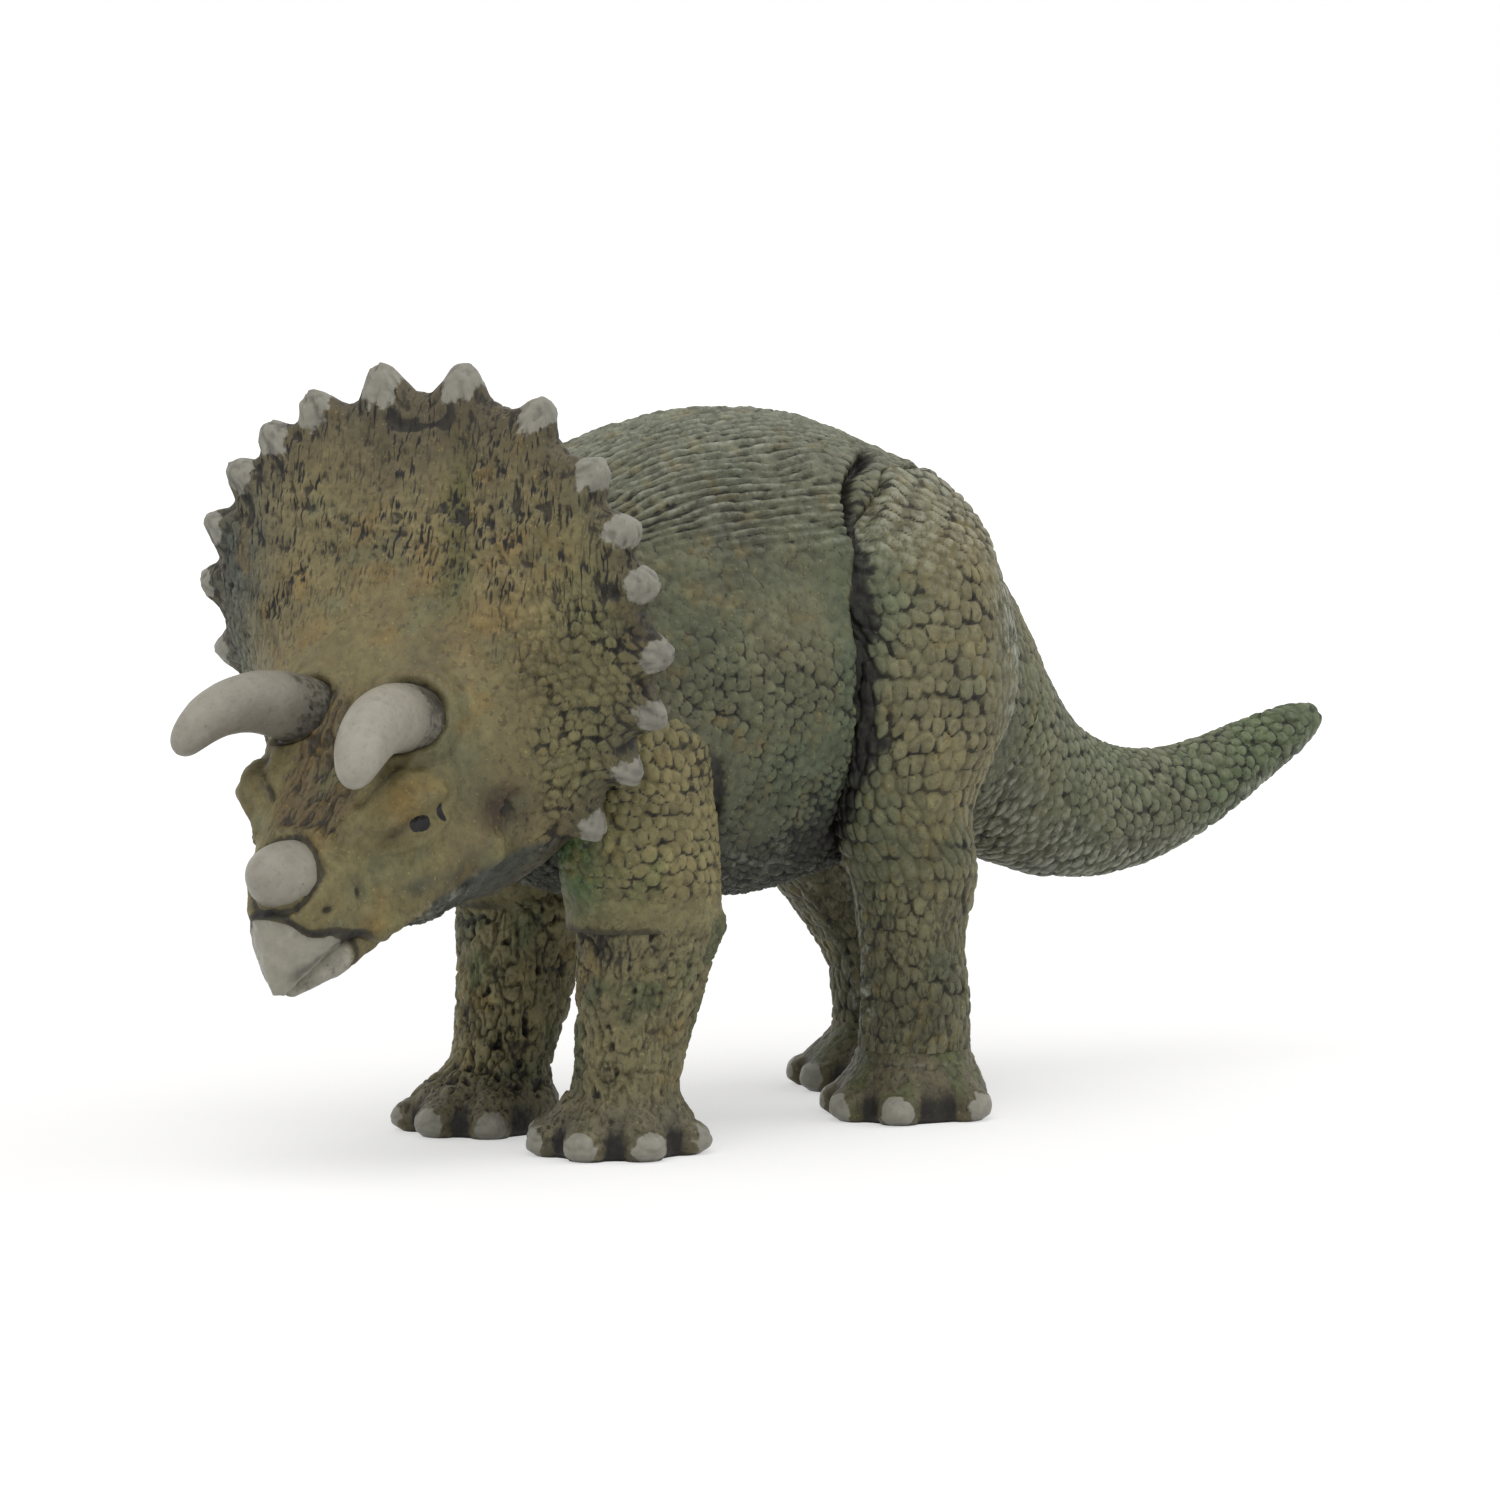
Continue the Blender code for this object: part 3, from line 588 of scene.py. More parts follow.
def skin(name, grid, marks, material, slot, *replaced, part=slice(None)):
    """A closed skin over a grid of points, rows along the piece and columns round it, with a pole at each end.

    marks holds what the paint reads, a number or a colour for every point, and part says which rows are taken.
    The end rings are sharp, so that two skins that share a ring meet without a line.
    """
    grid = grid[part]
    rows, columns = grid.shape[:2]
    corners = np.arange(rows * columns).reshape(rows, columns)
    after = np.roll(corners, -1, 1)
    quads = np.stack((corners[:-1], after[:-1], after[1:], corners[1:]), -1).reshape(-1, 4)
    caps = np.concatenate((
        np.stack((after[0], corners[0], np.full(columns, rows * columns)), 1),
        np.stack((corners[-1], after[-1], np.full(columns, rows * columns + 1)), 1)))

    def with_poles(values):
        flat = values.reshape(rows * columns, -1)
        return np.vstack((flat, flat[:columns].mean(0), flat[-columns:].mean(0)))

    points = with_poles(grid + stand)
    a, b, c, d = (points[quads[:, k]] for k in range(4))
    volume = (a * np.cross(b, c)).sum() + (a * np.cross(c, d)).sum()
    if volume < 0:
        quads, caps = quads[:, ::-1], caps[:, ::-1]
    mesh = bpy.data.meshes.new(name)
    mesh.from_pydata(points.tolist(), [], quads.tolist() + caps.tolist(), shade_flat=False)
    for key, mark in marks.items():
        values = with_poles(mark[part])
        if values.shape[1] == 3:
            made = mesh.attributes.new(key, "FLOAT_COLOR", "POINT")
            colours = np.hstack((values, np.ones((len(values), 1))))
            made.data.foreach_set("color", colours.astype(np.float32).ravel())
        else:
            made = mesh.attributes.new(key, "FLOAT", "POINT")
            made.data.foreach_set("value", values.astype(np.float32).ravel())
    edges = np.empty(2 * len(mesh.edges), np.int32)
    mesh.edges.foreach_get("vertices", edges)
    edges = edges.reshape(-1, 2)
    first_ring = (edges < columns).all(1)
    last_ring = ((edges >= (rows - 1) * columns) & (edges < rows * columns)).all(1)
    sharp = mesh.attributes.new("sharp_edge", "BOOLEAN", "EDGE")
    sharp.data.foreach_set("value", first_ring | last_ring)
    mesh.materials.append(material)
    piece = bpy.data.objects.new(name, mesh)
    bpy.context.scene.collection.objects.link(piece)
    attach(piece, "root")
    if replaced:
        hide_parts(*replaced)
    return piece


def body_rings(t, columns):
    """Rings of the trunk and the tail: x = half width cos a, less 0.13 sin a of it above, rise = half height sin a.

    The ring leans, and the tail swings out by 3.6 mm times the square of the way along it.
    """
    y, middle, half_width, half_height, lean = (column[:, None] for column in glide(trunk_rows, t).T)
    along = (y + chest_reach) / spine_length
    past = np.maximum(along - tail_seam_share, 0) / (1 - tail_seam_share)
    full = trunk_full_share + (tail_full_share - trunk_full_share) * ramp(along, 0.55, 0.65)
    a = round_angles(columns)
    narrow = 1 - top_narrowing_share * np.maximum(np.sin(a), 0)
    rise = full * half_height * np.sin(a)
    return np.stack((tail_swing * past ** 2 + full * half_width * narrow * np.cos(a),
                     y + rise * np.sin(lean), middle + rise * np.cos(lean)), -1)


def turns(grid):
    """Share of the way round its ring for every point of a grid, from 0 to just under 1."""
    return np.arange(grid.shape[1])[None] / grid.shape[1] * np.ones((len(grid), 1))


def lengths(grid):
    """Mean way down to each ring, share of the way round it and its length round, for every point of a grid."""
    girth = np.linalg.norm(np.roll(grid, -1, 1) - grid, axis=-1).sum(1)
    step = np.linalg.norm(np.diff(grid, axis=0), axis=-1).mean(1)
    down = np.concatenate(([0], np.cumsum(step)))
    ones = np.ones(grid.shape[:2])
    return down[:, None] * ones, turns(grid), girth[:, None] * ones


trunk_end = 8 / 15
trunk_split = 0.28
trunk_t = even_steps(trunk_rows[:, :4], 0.0, trunk_end, 320)
trunk_grid = body_rings(trunk_t, 540)
trunk_down, trunk_turn, trunk_girth = lengths(trunk_grid)

# The groove in front of the haunch, from the back down to the belly, on the left side, in mm
groove_path = np.array(((6.0, 10.6, 54.4), (7.4, 8.6, 53.5), (9.1, 6.0, 52.3), (10.3, 4.7, 51.0),
                        (11.8, 3.8, 48.6), (12.8, 3.9, 46.3), (14.5, 3.7, 40.0),
                        (14.4, 3.9, 35.2), (13.1, 4.4, 30.2), (9.5, 5.0, 24.3))) * mm


def haunch_groove(points):
    """The groove before both haunches, and the share by which the trunk dives under the haunch behind it.

    The groove is a bell of the distance from its path, 0.4 mm wide above and 0.9 mm below. The dive goes from 0
    on the path to 1 at 0.9 mm behind it, and fades out at the belly and over the top of the hip.
    """
    z = points[..., 2]
    wide = (0.40 + 0.50 * ramp(-z, -48 * mm, -43 * mm)) * mm
    wander = 0.4 * mm * cloud(points, 1.3 * mm, 17)
    behind = points[..., 1] - np.interp(z, groove_path[::-1, 2], groove_path[::-1, 1]) + wander
    dive = ramp(behind, 0, 0.9 * mm) * ramp(z, 20 * mm, 24 * mm) * ramp(-z, -51 * mm, -48 * mm)
    return bell(off_path(mirrored(points), groove_path) + wander, 0, wide), dive


def haunch_reach(y, z):
    """Reach of the blend of haunch and trunk: 4.5 mm above, 3 mm behind, none before and at the groin."""
    return 4.5 * mm * np.maximum(ramp(z, 42 * mm, 48 * mm), 0.65 * ramp(y, 16 * mm, 20 * mm))


def hip_scales(points):
    """Long low scales on both hips in level rows, the same on trunk and haunch: relief, dark and where they lie."""
    x, y, z = np.moveaxis(points, -1, 0)
    here = ramp(z + 1.5 * mm * cloud(points, 4 * mm, 30), 44 * mm, 47 * mm) * ramp(y, 2 * mm, 5 * mm)
    here = here * ramp(np.abs(x), 5 * mm, 8 * mm) * ramp(-y, -25 * mm, -19 * mm)
    plate, dark, _ = scales(points, 70 * mm - z - 0.25 * y, y / (60 * mm) + 0.5, 0 * y + 60 * mm,
                            0.80 * mm, 1.9 * mm, 42, 0.4)
    return plate, dark, here


def arm_reach(z):
    """Reach of the blend of upper arm and trunk: 3 mm at the shoulder, none at the elbow."""
    return 3.0 * mm * ramp(z, 24 * mm, 32 * mm)


def behind_arm(off, y, z):
    """Groove, darkened with painted shade, where the upper arm's back leaves the trunk; off is the way from one to
    the other.
    """
    return bell(off, 0, 0.7 * mm) * ramp(y, -14 * mm, -9 * mm) * ramp(-z, -35 * mm, -30 * mm)


x, y, z = np.moveaxis(trunk_grid, -1, 0)
swell = 0.0
trunk_shade = 0.0
for name, side in sides.items():
    here = np.sign(x) == side
    off_arm = off_limb(trunk_grid, arms[name])
    off_haunch = off_limb(trunk_grid, haunches[name], hip_stretch(z))
    # Painted shade in the groove behind each upper arm and under the arm, gathered in trunk_shade.
    arm_line = behind_arm(off_arm - 0.4 * mm, y, z)
    under_arm_shade = bell(off_arm, 0.0, 2.0 * mm) * ramp(-z, -28 * mm, -20 * mm)
    swell = swell + here * (meet(off_arm, arm_reach(z)) + meet(off_haunch, haunch_reach(y, z))
                            - 0.6 * mm * arm_line)
    trunk_shade = trunk_shade + here * (arm_line + under_arm_shade * 0.5)

# The groove before the haunch and the strip of trunk behind it, under the haunch's edge, sink and are darkened with
# washed-in dark and painted shade.
gully, dive = haunch_groove(trunk_grid)
over_hip = ramp(z, 42 * mm, 46 * mm) * ramp(y, 8 * mm, 12 * mm)
gully = np.maximum(gully, dive * ramp(-y, -20 * mm, -18 * mm) * (1 - over_hip))
high_back = ramp(z + 1.5 * mm * cloud(trunk_grid, 6 * mm, 5), 46 * mm, 50 * mm)
hip_plate, hip_dark, on_hip = hip_scales(trunk_grid)
high_back = high_back * (1 - on_hip)
low_belly = ramp(-z + 2 * mm * cloud(trunk_grid, 5 * mm, 6), -27 * mm, -21 * mm)
plate, dark, own = scales(trunk_grid, trunk_down, trunk_turn, trunk_girth, 1.05 * mm, 1.00 * mm, 1)
# On the back the rows run along the body, so there the two directions change places, and ridges lie under them
back_length = trunk_down[-1, 0]
back_ridges = 135
plate_long, dark_long, own_long = (made.T for made in scales(
    trunk_grid.transpose(1, 0, 2), 100 * mm * trunk_turn.T, trunk_down.T / back_length,
    back_length + 0 * trunk_turn.T, 0.72 * mm, 2.6 * mm, 7, 0.34))
back_wave = np.cos(2 * np.pi * (back_ridges * trunk_turn
                                + 1.2 * cloud(trunk_grid * (1.0, 0.4, 1.0), 3 * mm, 16)))
back_breaks = ramp(cloud(trunk_grid * (1.0, 0.35, 1.0), 0.8 * mm, 18), -0.45, 0.0)
calm = 1 - 0.50 * bell(z, 44 * mm, 5 * mm) * (1 - high_back)
patchy = 0.45 + 0.55 * ramp(cloud(trunk_grid, 4 * mm, 10), -0.3, 0.1)
strong = (1 - high_back) * (1 - on_hip) * calm * patchy
worn = wear(trunk_grid, 9)
folds = creases(trunk_grid, (3.0 * mm, 1.2 * mm, 0.8 * mm), 14) * low_belly
sag = spot(trunk_grid, (0.0, -1.0, 19.0), (14.0, 9.0, 7.0))
groin = spot(mirrored(trunk_grid), (11.0, 3.5, 24.5), (4.5, 3.5, 3.5))
back_relief = 0.30 * plate_long + 0.26 * back_wave * (0.5 + 0.5 * back_breaks)
relief = (0.42 * plate * strong + back_relief * high_back + 0.42 * hip_plate * on_hip
          + 0.12 * cloud(trunk_grid, 2.5 * mm, 12) + 0.10 * cloud(trunk_grid, 0.6 * mm, 15)
          + 0.25 * folds + 0.9 * sag - 1.7 * gully) * mm
trunk_skin = raised(trunk_grid, swell + relief)
# Painted shade: the trunk is coated darker towards its underside.
below = ramp(-z + 2 * mm * cloud(trunk_grid, 9 * mm, 3), -29 * mm, -21 * mm)
green_rim = bell(off_path(mirrored(trunk_grid), groove_path[5:]), 2.4 * mm, 1.4 * mm)
trunk_coat = layered(body_coat(trunk_grid), (belly_shade, below),
                     (flank_green, 0.5 * green_rim * ramp(-y, -4 * mm, -2 * mm)))
back_dark = 0.45 * dark_long + 0.75 * ramp(-back_wave, 0.3, 0.95) * back_breaks
# The wash_and_shade attribute holds washed-in dark and painted shade: shade behind and under the arms, in the groove
# before the haunch, low on the belly and at the groin.
trunk_marks = {
    "coat": toned(trunk_coat, np.where(high_back > 0.5, own_long, own), 0.14),
    "wash_and_shade": np.clip((dark * strong + back_dark * high_back + hip_dark * on_hip) * worn + trunk_shade
                    + 1.3 * gully + 0.3 * low_belly + 0.65 * groin, 0, 1),
    "rub": np.clip(ramp(back_wave + plate_long, 0.1, 0.9) * 0.45 * high_back * worn + 0.5 * folds, 0, 1)}
trunk_paint = vinyl("trunk_paint")
cut = int(np.searchsorted(trunk_t, trunk_split))
skin("trunk_front", trunk_skin, trunk_marks, trunk_paint, "body_vinyl", "torso", part=slice(cut + 1))
skin("trunk_rear", trunk_skin, trunk_marks, trunk_paint, "body_vinyl", part=slice(cut, None))

# Upper arms: part of the trunk's casting, scaled like it on their outer side, ending over the forearms in a
# straight sleeve edge.
arm_paint = vinyl("arm_paint")


def limb_rings(stations, t, columns):
    """Rings of a limb: x = middle + half width cos a, y = middle + half depth sin a, at the station's height."""
    z, x, y, half_width, half_depth = (column[:, None] for column in glide(stations, t).T)
    a = round_angles(columns)
    return np.stack((x + half_width * np.cos(a), y + half_depth * np.sin(a), z + 0 * a), -1)


for name, side in sides.items():
    grid = limb_rings(arms[name], even_steps(arms[name], 0.0, 1.0, 160), 220)
    x, y, z = np.moveaxis(grid, -1, 0)
    off = off_trunk(grid)
    plate, dark, own = scales(grid, *lengths(grid), 1.10 * mm, 1.05 * mm, 21 + side)
    worn = wear(grid, 23)
    # Scales show on the outer side of the arm and fade at its front and towards the hem
    strong = (1 - 0.75 * ramp(-y - 0.4 * z, 11 * mm, 15 * mm)) * ramp(z, 19 * mm, 22 * mm)
    # Painted shade: a dark line under the front of the sleeve's hem, and in the groove behind the arm.
    hem = bell(z, elbow_height, 0.7 * mm) * ramp(-y, 15.5 * mm, 18 * mm)
    rear_line = behind_arm(off - 0.2 * mm, y, z)
    relief = (0.36 * plate * strong + 0.14 * cloud(grid, 2.5 * mm, 24) + 0.10 * cloud(grid, 0.6 * mm, 25)
              + 0.25 * hem - 0.4 * rear_line) * mm
    greened = spot(mirrored(grid), (9.0, -24.0, 24.0), (5.5, 5.0, 7.0))
    coat = layered(np.broadcast_to(arm_brown, grid.shape), (haunch_brown, ramp(z, 32 * mm, 38 * mm)),
                   (arm_green, greened + 0.35 * ramp(cloud(grid, 3 * mm, 26), 0.1, 0.5)),
                   (patch_ochre, 0.5 * ramp(cloud(grid, 2.2 * mm, 28), 0.2, 0.6)),
                   (leg_brown, 0.7 * ramp(-z + 2 * mm * cloud(grid, 2 * mm, 29), -22 * mm, -19 * mm)))
    marks = {"coat": toned(coat, own, 0.16),
             "wash_and_shade": np.clip(dark * (0.15 + 0.85 * strong) * worn + rear_line + 0.65 * hem, 0, 1),
             "rub": 0.05 * worn}
    skin("upper_arm_" + name, raised(grid, meet(off, arm_reach(z)) + relief), marks, arm_paint, "body_vinyl")

# Hindlegs: haunch, thigh and shin in one casting each, glued into the pelvis behind a deep groove, with the
# largest scales of the body and narrow upright ones down the back of the haunch, rubbed pale.
haunch_paint = vinyl("haunch_paint", furrow_sizes=(0.35 * mm, 0.35 * mm, 1.1 * mm))
shin_front = {"left": ((8.0, 7.0, 20.0), (7.4, 8.6, 15.0), (7.0, 10.0, 10.0), (6.6, 11.0, 6.0)),
              "right": ((-6.6, 13.6, 18.5), (-7.2, 15.6, 15.0), (-7.0, 17.6, 12.0), (-5.9, 19.5, 7.6))}
for name, side in sides.items():
    grid = limb_rings(haunches[name], even_steps(haunches[name], 0.0, 1.0, 300), 300)
    over = grid[..., 1] - grid[..., 1].mean(1, keepdims=True)
    grid[..., 1] += np.where(over < 0, over * (hip_stretch(grid[..., 2]) - 1), 0)
    x, y, z = np.moveaxis(grid, -1, 0)
    off = off_trunk(grid)
    places = lengths(grid)
    plate_wide, dark_wide, own = scales(grid, *places, 1.55 * mm, 1.10 * mm, 31 + side)
    plate_rear, dark_rear, _ = scales(grid, *places, 2.2 * mm, 0.66 * mm, 36 + side, 0.5)
    plate_hip, dark_hip, hip = hip_scales(grid)
    rear = ramp(y + 1.5 * mm * cloud(grid, 4 * mm, 35), 15.5 * mm, 19.5 * mm) * ramp(z, 14 * mm, 22 * mm)
    rear = rear * (1 - hip)
    low_leg = ramp(-z, -24 * mm, -16 * mm)
    plate = plate_wide * (1 - rear - hip) + plate_rear * rear + plate_hip * hip
    dark = dark_wide * (1 - rear - hip) + dark_rear * rear + dark_hip * hip
    gully, _ = haunch_groove(grid)
    # Where the haunch runs into the trunk it is darkened like the groove, with washed-in dark and painted shade.
    hidden = -off - 0.9 * mm * (1 - ramp(-z, -38 * mm, -33 * mm)) + 0.8 * mm * cloud(grid, 1.2 * mm, 37)
    valley = ramp(hidden - 0.9 * mm * own, -1.4 * mm, -0.2 * mm) * ramp(-y, -12 * mm, -7 * mm)
    gully = np.maximum(gully, valley * ramp(-z, -47 * mm, -40 * mm))
    worn = wear(grid, 33)
    strong = (1 - 0.2 * low_leg) * (0.7 + 0.3 * ramp(cloud(grid, 4 * mm, 32), -0.3, 0.2))
    ridge = bell(off_path(grid, np.array(shin_front[name]) * mm), 0.0, 0.8 * mm)
    relief = (0.42 * plate * strong + 0.12 * cloud(grid, 2.5 * mm, 34) + 0.10 * cloud(grid, 0.6 * mm, 39)
              + 0.15 * low_leg * cloud(grid * (1.0, 1.0, 0.4), 0.9 * mm, 38)
              + 0.40 * ridge - 0.3 * gully) * mm
    rubbed = ramp(plate, 0.0, 0.2) * (0.05 + 0.85 * rear + 0.40 * hip) * worn
    marks = {"coat": toned(body_coat(grid), own, 0.16),
             "wash_and_shade": np.clip(dark * strong * worn * (1 - 0.2 * rear) + 1.4 * gully, 0, 1),
             "rub": np.clip(rubbed + 1.2 * ridge * ramp(cloud(grid, 0.7 * mm, 40), 0, 0.3), 0, 1),
             "furrow": np.clip(0.6 * low_leg + 0.6 * gully, 0, 1)}
    skin("haunch_and_shin_" + name, raised(grid, meet(off, haunch_reach(y, z)) + relief), marks, haunch_paint,
         "body_vinyl", "hindleg_" + name)

# Hind feet: short blocks glued under the ankles, with four blunt toes that carry painted nails.
foot_olive = linear(100, 94, 72)
foot_green = linear(80, 86, 54)
toe_gap_shade = linear(52, 46, 38)
nail_grey = linear(146, 144, 132)
hind_foot_width = 11.4 * mm
hind_foot_length = 13.6 * mm
toe_reach = 1.7 * mm
toe_middle = 1.1 * mm
toe_round = 1.5 * mm
toe_spread = 15.0
hind_toe_angles = (-48.0, -2.0, 43.0, 104.0)
foot_paint = vinyl("foot_paint", (("nail", nail_grey, 0.42),), furrow_sizes=(0.35 * mm, 0.35 * mm, 0.9 * mm))


def toes(side, angles, a):
    """Toe lobes round a foot: sqrt(1 - (angle from the toe / spread)^2), and that angle over the spread."""
    outer = np.degrees(np.arctan2(side * np.cos(a), -np.sin(a)))
    off = np.stack([np.mod(outer - toe + 180, 360) - 180 for toe in angles]) / toe_spread
    nearest = np.abs(off).min(0)
    return np.sqrt(np.clip(1 - nearest ** 2, 0, 1)), nearest


def foot(stations, side, top_z, bottom_x, bottom_y, half_width, half_length, angles, rows, columns=260):
    """Leg and foot in one skin: the limb's rings, then a flare into the sole's outline with its toes.

    A toe stands out by its lobe round the foot times a half circle in height, with a low ridge running up from
    it. Returns the grid, the painted shade between the toes, and the nails, which show where their number passes
    0.5.
    """
    z = top_z * (1 - np.linspace(0, 1, rows)[:, None])
    a = round_angles(columns)
    height, *leg = glide(stations, np.linspace(1, 0, 600)).T
    x0, y0, w0, d0 = (np.interp(z, height, column) for column in leg)
    flare = ramp(-z, -5.6 * mm, -1.8 * mm)
    lobe, nearest = toes(side, angles, a)
    rounding = np.sqrt(np.clip(1 - ((z - toe_middle) / toe_round) ** 2, 0, 1))
    knuckle = 0.45 * bell(z, toe_middle, 2.4 * mm) * np.exp(-nearest ** 2)
    stand_out = toe_reach * np.maximum(lobe * rounding, knuckle)
    sole_round = 1 - 0.06 * ramp(-z, -0.6 * mm, 0)
    x = x0 + (bottom_x - x0) * flare
    y = y0 + (bottom_y - y0) * flare
    w = (w0 + (half_width - w0) * flare) * sole_round + stand_out
    d = (d0 + (half_length - d0) * flare) * sole_round + stand_out
    grid = np.stack((x + w * np.cos(a), y + d * np.sin(a), z + 0 * a), -1)
    between = ramp(nearest, 0.8, 1.3) * bell(z, toe_middle, 1.6 * mm)
    nail = 1 - 0.5 * np.hypot(nearest / 0.74, (z - toe_middle) / (1.25 * mm))
    return grid, between * ramp(1.2 - nearest, -2.4, 0.0), nail + 0.10 * cloud(grid, 0.9 * mm, 45)


for name, side in sides.items():
    grid, between, nail = foot(
        haunches[name], side, ankle_height, side * 0.72 * hind_track, hind_foot_y[name],
        hind_foot_width * 0.50, hind_foot_length * 0.47, hind_toe_angles, 70)
    z = grid[..., 2]
    plate, dark, own = scales(grid, ankle_height - z, turns(grid), 0 * z + 36 * mm, 1.0 * mm, 1.2 * mm, 43)
    glue_line = bell(z, 5.0 * mm - 0.4 * mm * np.cos(2 * np.pi * turns(grid)), 0.16 * mm)
    bare = ramp(z, 0.3 * mm, 1.2 * mm)
    relief = (0.10 * plate * ramp(z, 2 * mm, 4 * mm) + 0.12 * cloud(grid, 1.5 * mm, 44)
              + 0.08 * cloud(grid, 0.6 * mm, 47) + 0.08 * glue_line) * mm * bare
    coat = layered(np.broadcast_to(foot_olive, grid.shape),
                   # Painted shade between the toes.
                   (foot_green, 0.8 * ramp(cloud(grid, 2.5 * mm, 46), 0.0, 0.4)), (toe_gap_shade, 0.9 * between))
    # Painted shade round the bottom of the sole and between the toes.
    sole_shade = 0.5 * ramp(-z, -0.5 * mm, 0)
    marks = {"coat": toned(coat, own, 0.12),
             "wash_and_shade": np.clip(dark * 0.5 * ramp(z, 2 * mm, 4 * mm) + between * 0.8 + sole_shade, 0, 1),
             "rub": 0.2 * glue_line, "nail": nail, "furrow": 0.4 * bare}
    skin("hind_foot_skin_" + name, raised(grid, relief), marks, foot_paint, "foot_vinyl", "hind_foot_" + name)

# Forelegs: forearm and foot in one casting each, pushed on a peg under the sleeve, browner than the body and
# deeply pitted, with five blunt toes.
leg_green = linear(80, 88, 58)
fore_foot_width = 11.6 * mm
fore_foot_length = 12.6 * mm
fore_toe_angles = (-60.0, -15.0, 30.0, 76.0, 125.0)
foreleg_shares = ((1.00, *elbow_shares), (0.76, 0.88, 0.30, 0.095, 0.405, 0.395),
                  (0.50, 0.83, 0.50, 0.065, 0.365, 0.352), (0.32, 0.80, 0.70, 0.035, 0.360, 0.312),
                  (0.00, 0.78, 1.00, 0.000, 0.360, 0.300))
for name, side in sides.items():
    stations = limb(foreleg_shares, 0.0, elbow_height, fore_track, fore_leg_y[name], fore_foot_y[name],
                    shoulder_width, shoulder_depth, side, arm_full_share)
    grid, between, nail = foot(
        stations, side, elbow_height + 2 * mm, side * foot_track_share * fore_track, fore_foot_y[name],
        fore_foot_width * 0.49, fore_foot_length * 0.49, fore_toe_angles, 160)
    x, y, z = np.moveaxis(grid, -1, 0)
    plate, dark, own = scales(grid, elbow_height - z, turns(grid), 0 * z + 34 * mm, 1.2 * mm, 1.0 * mm,
                              53 + side)
    # Wrinkled at the front and the inner side, smoother on the outer and the rear side
    rough_side = ramp(-side * x - 0.7 * y + 1.5 * mm * cloud(grid, 3 * mm, 52), 3 * mm, 8 * mm)
    rows_in = 0.60 + 0.40 * rough_side
    folds = creases(grid, (1.0 * mm, 1.0 * mm, 1.7 * mm), 55, 0.11) * ramp(z, 2.0 * mm, 5 * mm) * rows_in
    holes = ramp(-cloud(grid * (1.0, 1.0, 0.7), 0.7 * mm, 57), 0.30, 0.65) * rows_in
    holes = holes * ramp(z, 2.0 * mm, 4 * mm)
    bare = ramp(z, 0.3 * mm, 1.2 * mm)
    # The elbow runs smoothly into the sleeve behind and outside, and is stepped back under it in front
    below_elbow = np.where(z < elbow_height, bell(z, elbow_height, 3.4 * mm), bell(z, elbow_height, 1.2 * mm))
    flush = below_elbow * ramp(y + 0.45 * side * x, -15.5 * mm, -12 * mm)
    relief = (0.14 * plate - 0.42 * folds - 0.45 * holes + 0.22 * cloud(grid, 2.2 * mm, 54)
              + 0.10 * cloud(grid, 0.6 * mm, 56) + 0.60 * flush) * mm * bare
    # Painted shade under the front of the sleeve.
    under_sleeve_shade = spot(mirrored(grid), (11.6, -20.2, 16.4), (3.6, 3.0, 1.3))
    coat = layered(np.broadcast_to(leg_brown, grid.shape),
                   (leg_green, 0.7 * ramp(cloud(grid, 3 * mm, 58), 0.0, 0.4)),
                   (patch_ochre, 0.6 * ramp(cloud(grid, 2.2 * mm, 59), 0.2, 0.6)),
                   # Painted shade between the toes.
                   (foot_olive, ramp(-z, -6 * mm, -3 * mm)), (toe_gap_shade, 0.9 * between))
    # Painted shade under the sleeve's edge and round the bottom of the sole.
    sleeve_shade = bell(z, elbow_height, 0.5 * mm) * (1 - flush)
    sole_shade = 0.5 * ramp(-z, -0.5 * mm, 0)
    # Painted light: the right forearm and foot are coated 16 % lighter than the left ones.
    marks = {"coat": toned(coat * (1.08 - 0.08 * side), own, 0.12),
             "wash_and_shade": np.clip(dark * 0.25 + folds * 0.62 + holes + between * 0.8 + 0.5 * under_sleeve_shade
                             + 0.5 * sleeve_shade + sole_shade, 0, 1),
             "rub": 0.06 * bare, "nail": nail, "furrow": 0.75 * bare * rows_in}
    skin("forearm_and_foot_" + name, raised(grid, relief), marks, foot_paint, "foot_vinyl", "foreleg_" + name)

# Tail: a tapering casting plugged into the pelvis, ringed by rows of scales, greener than the body.
tail_olive = linear(106, 108, 84)
tail_green = linear(88, 99, 70)
tail_t = even_steps(trunk_rows[:, :4], trunk_end, 1.0, 250)
tail_grid = body_rings(tail_t, 250)
tail_down, tail_turn, tail_girth = lengths(tail_grid)
dome_top, dark_top, own = scales(tail_grid, tail_down, tail_turn, tail_girth, 1.05 * mm, 1.25 * mm, 61)
dome_low, dark_low, _ = scales(tail_grid, tail_down, tail_turn, tail_girth, 0.75 * mm, 2.2 * mm, 66, 0.5)
below = ramp(-np.sin(2 * np.pi * tail_turn) + 0.3 * cloud(tail_grid, 3 * mm, 65), 0.1, 0.7)
dome = dome_top * (1 - below) + dome_low * below
dark = dark_top * (1 - below) + dark_low * below
along = (tail_grid[..., 1] + chest_reach) / spine_length
worn = wear(tail_grid, 63)
fade = 0.3 + 0.7 * ramp(-along, -1.0, -0.93)
relief = (0.36 * dome * fade + 0.12 * cloud(tail_grid, 3 * mm, 64)
          + 0.08 * cloud(tail_grid, 0.6 * mm, 68)) * mm
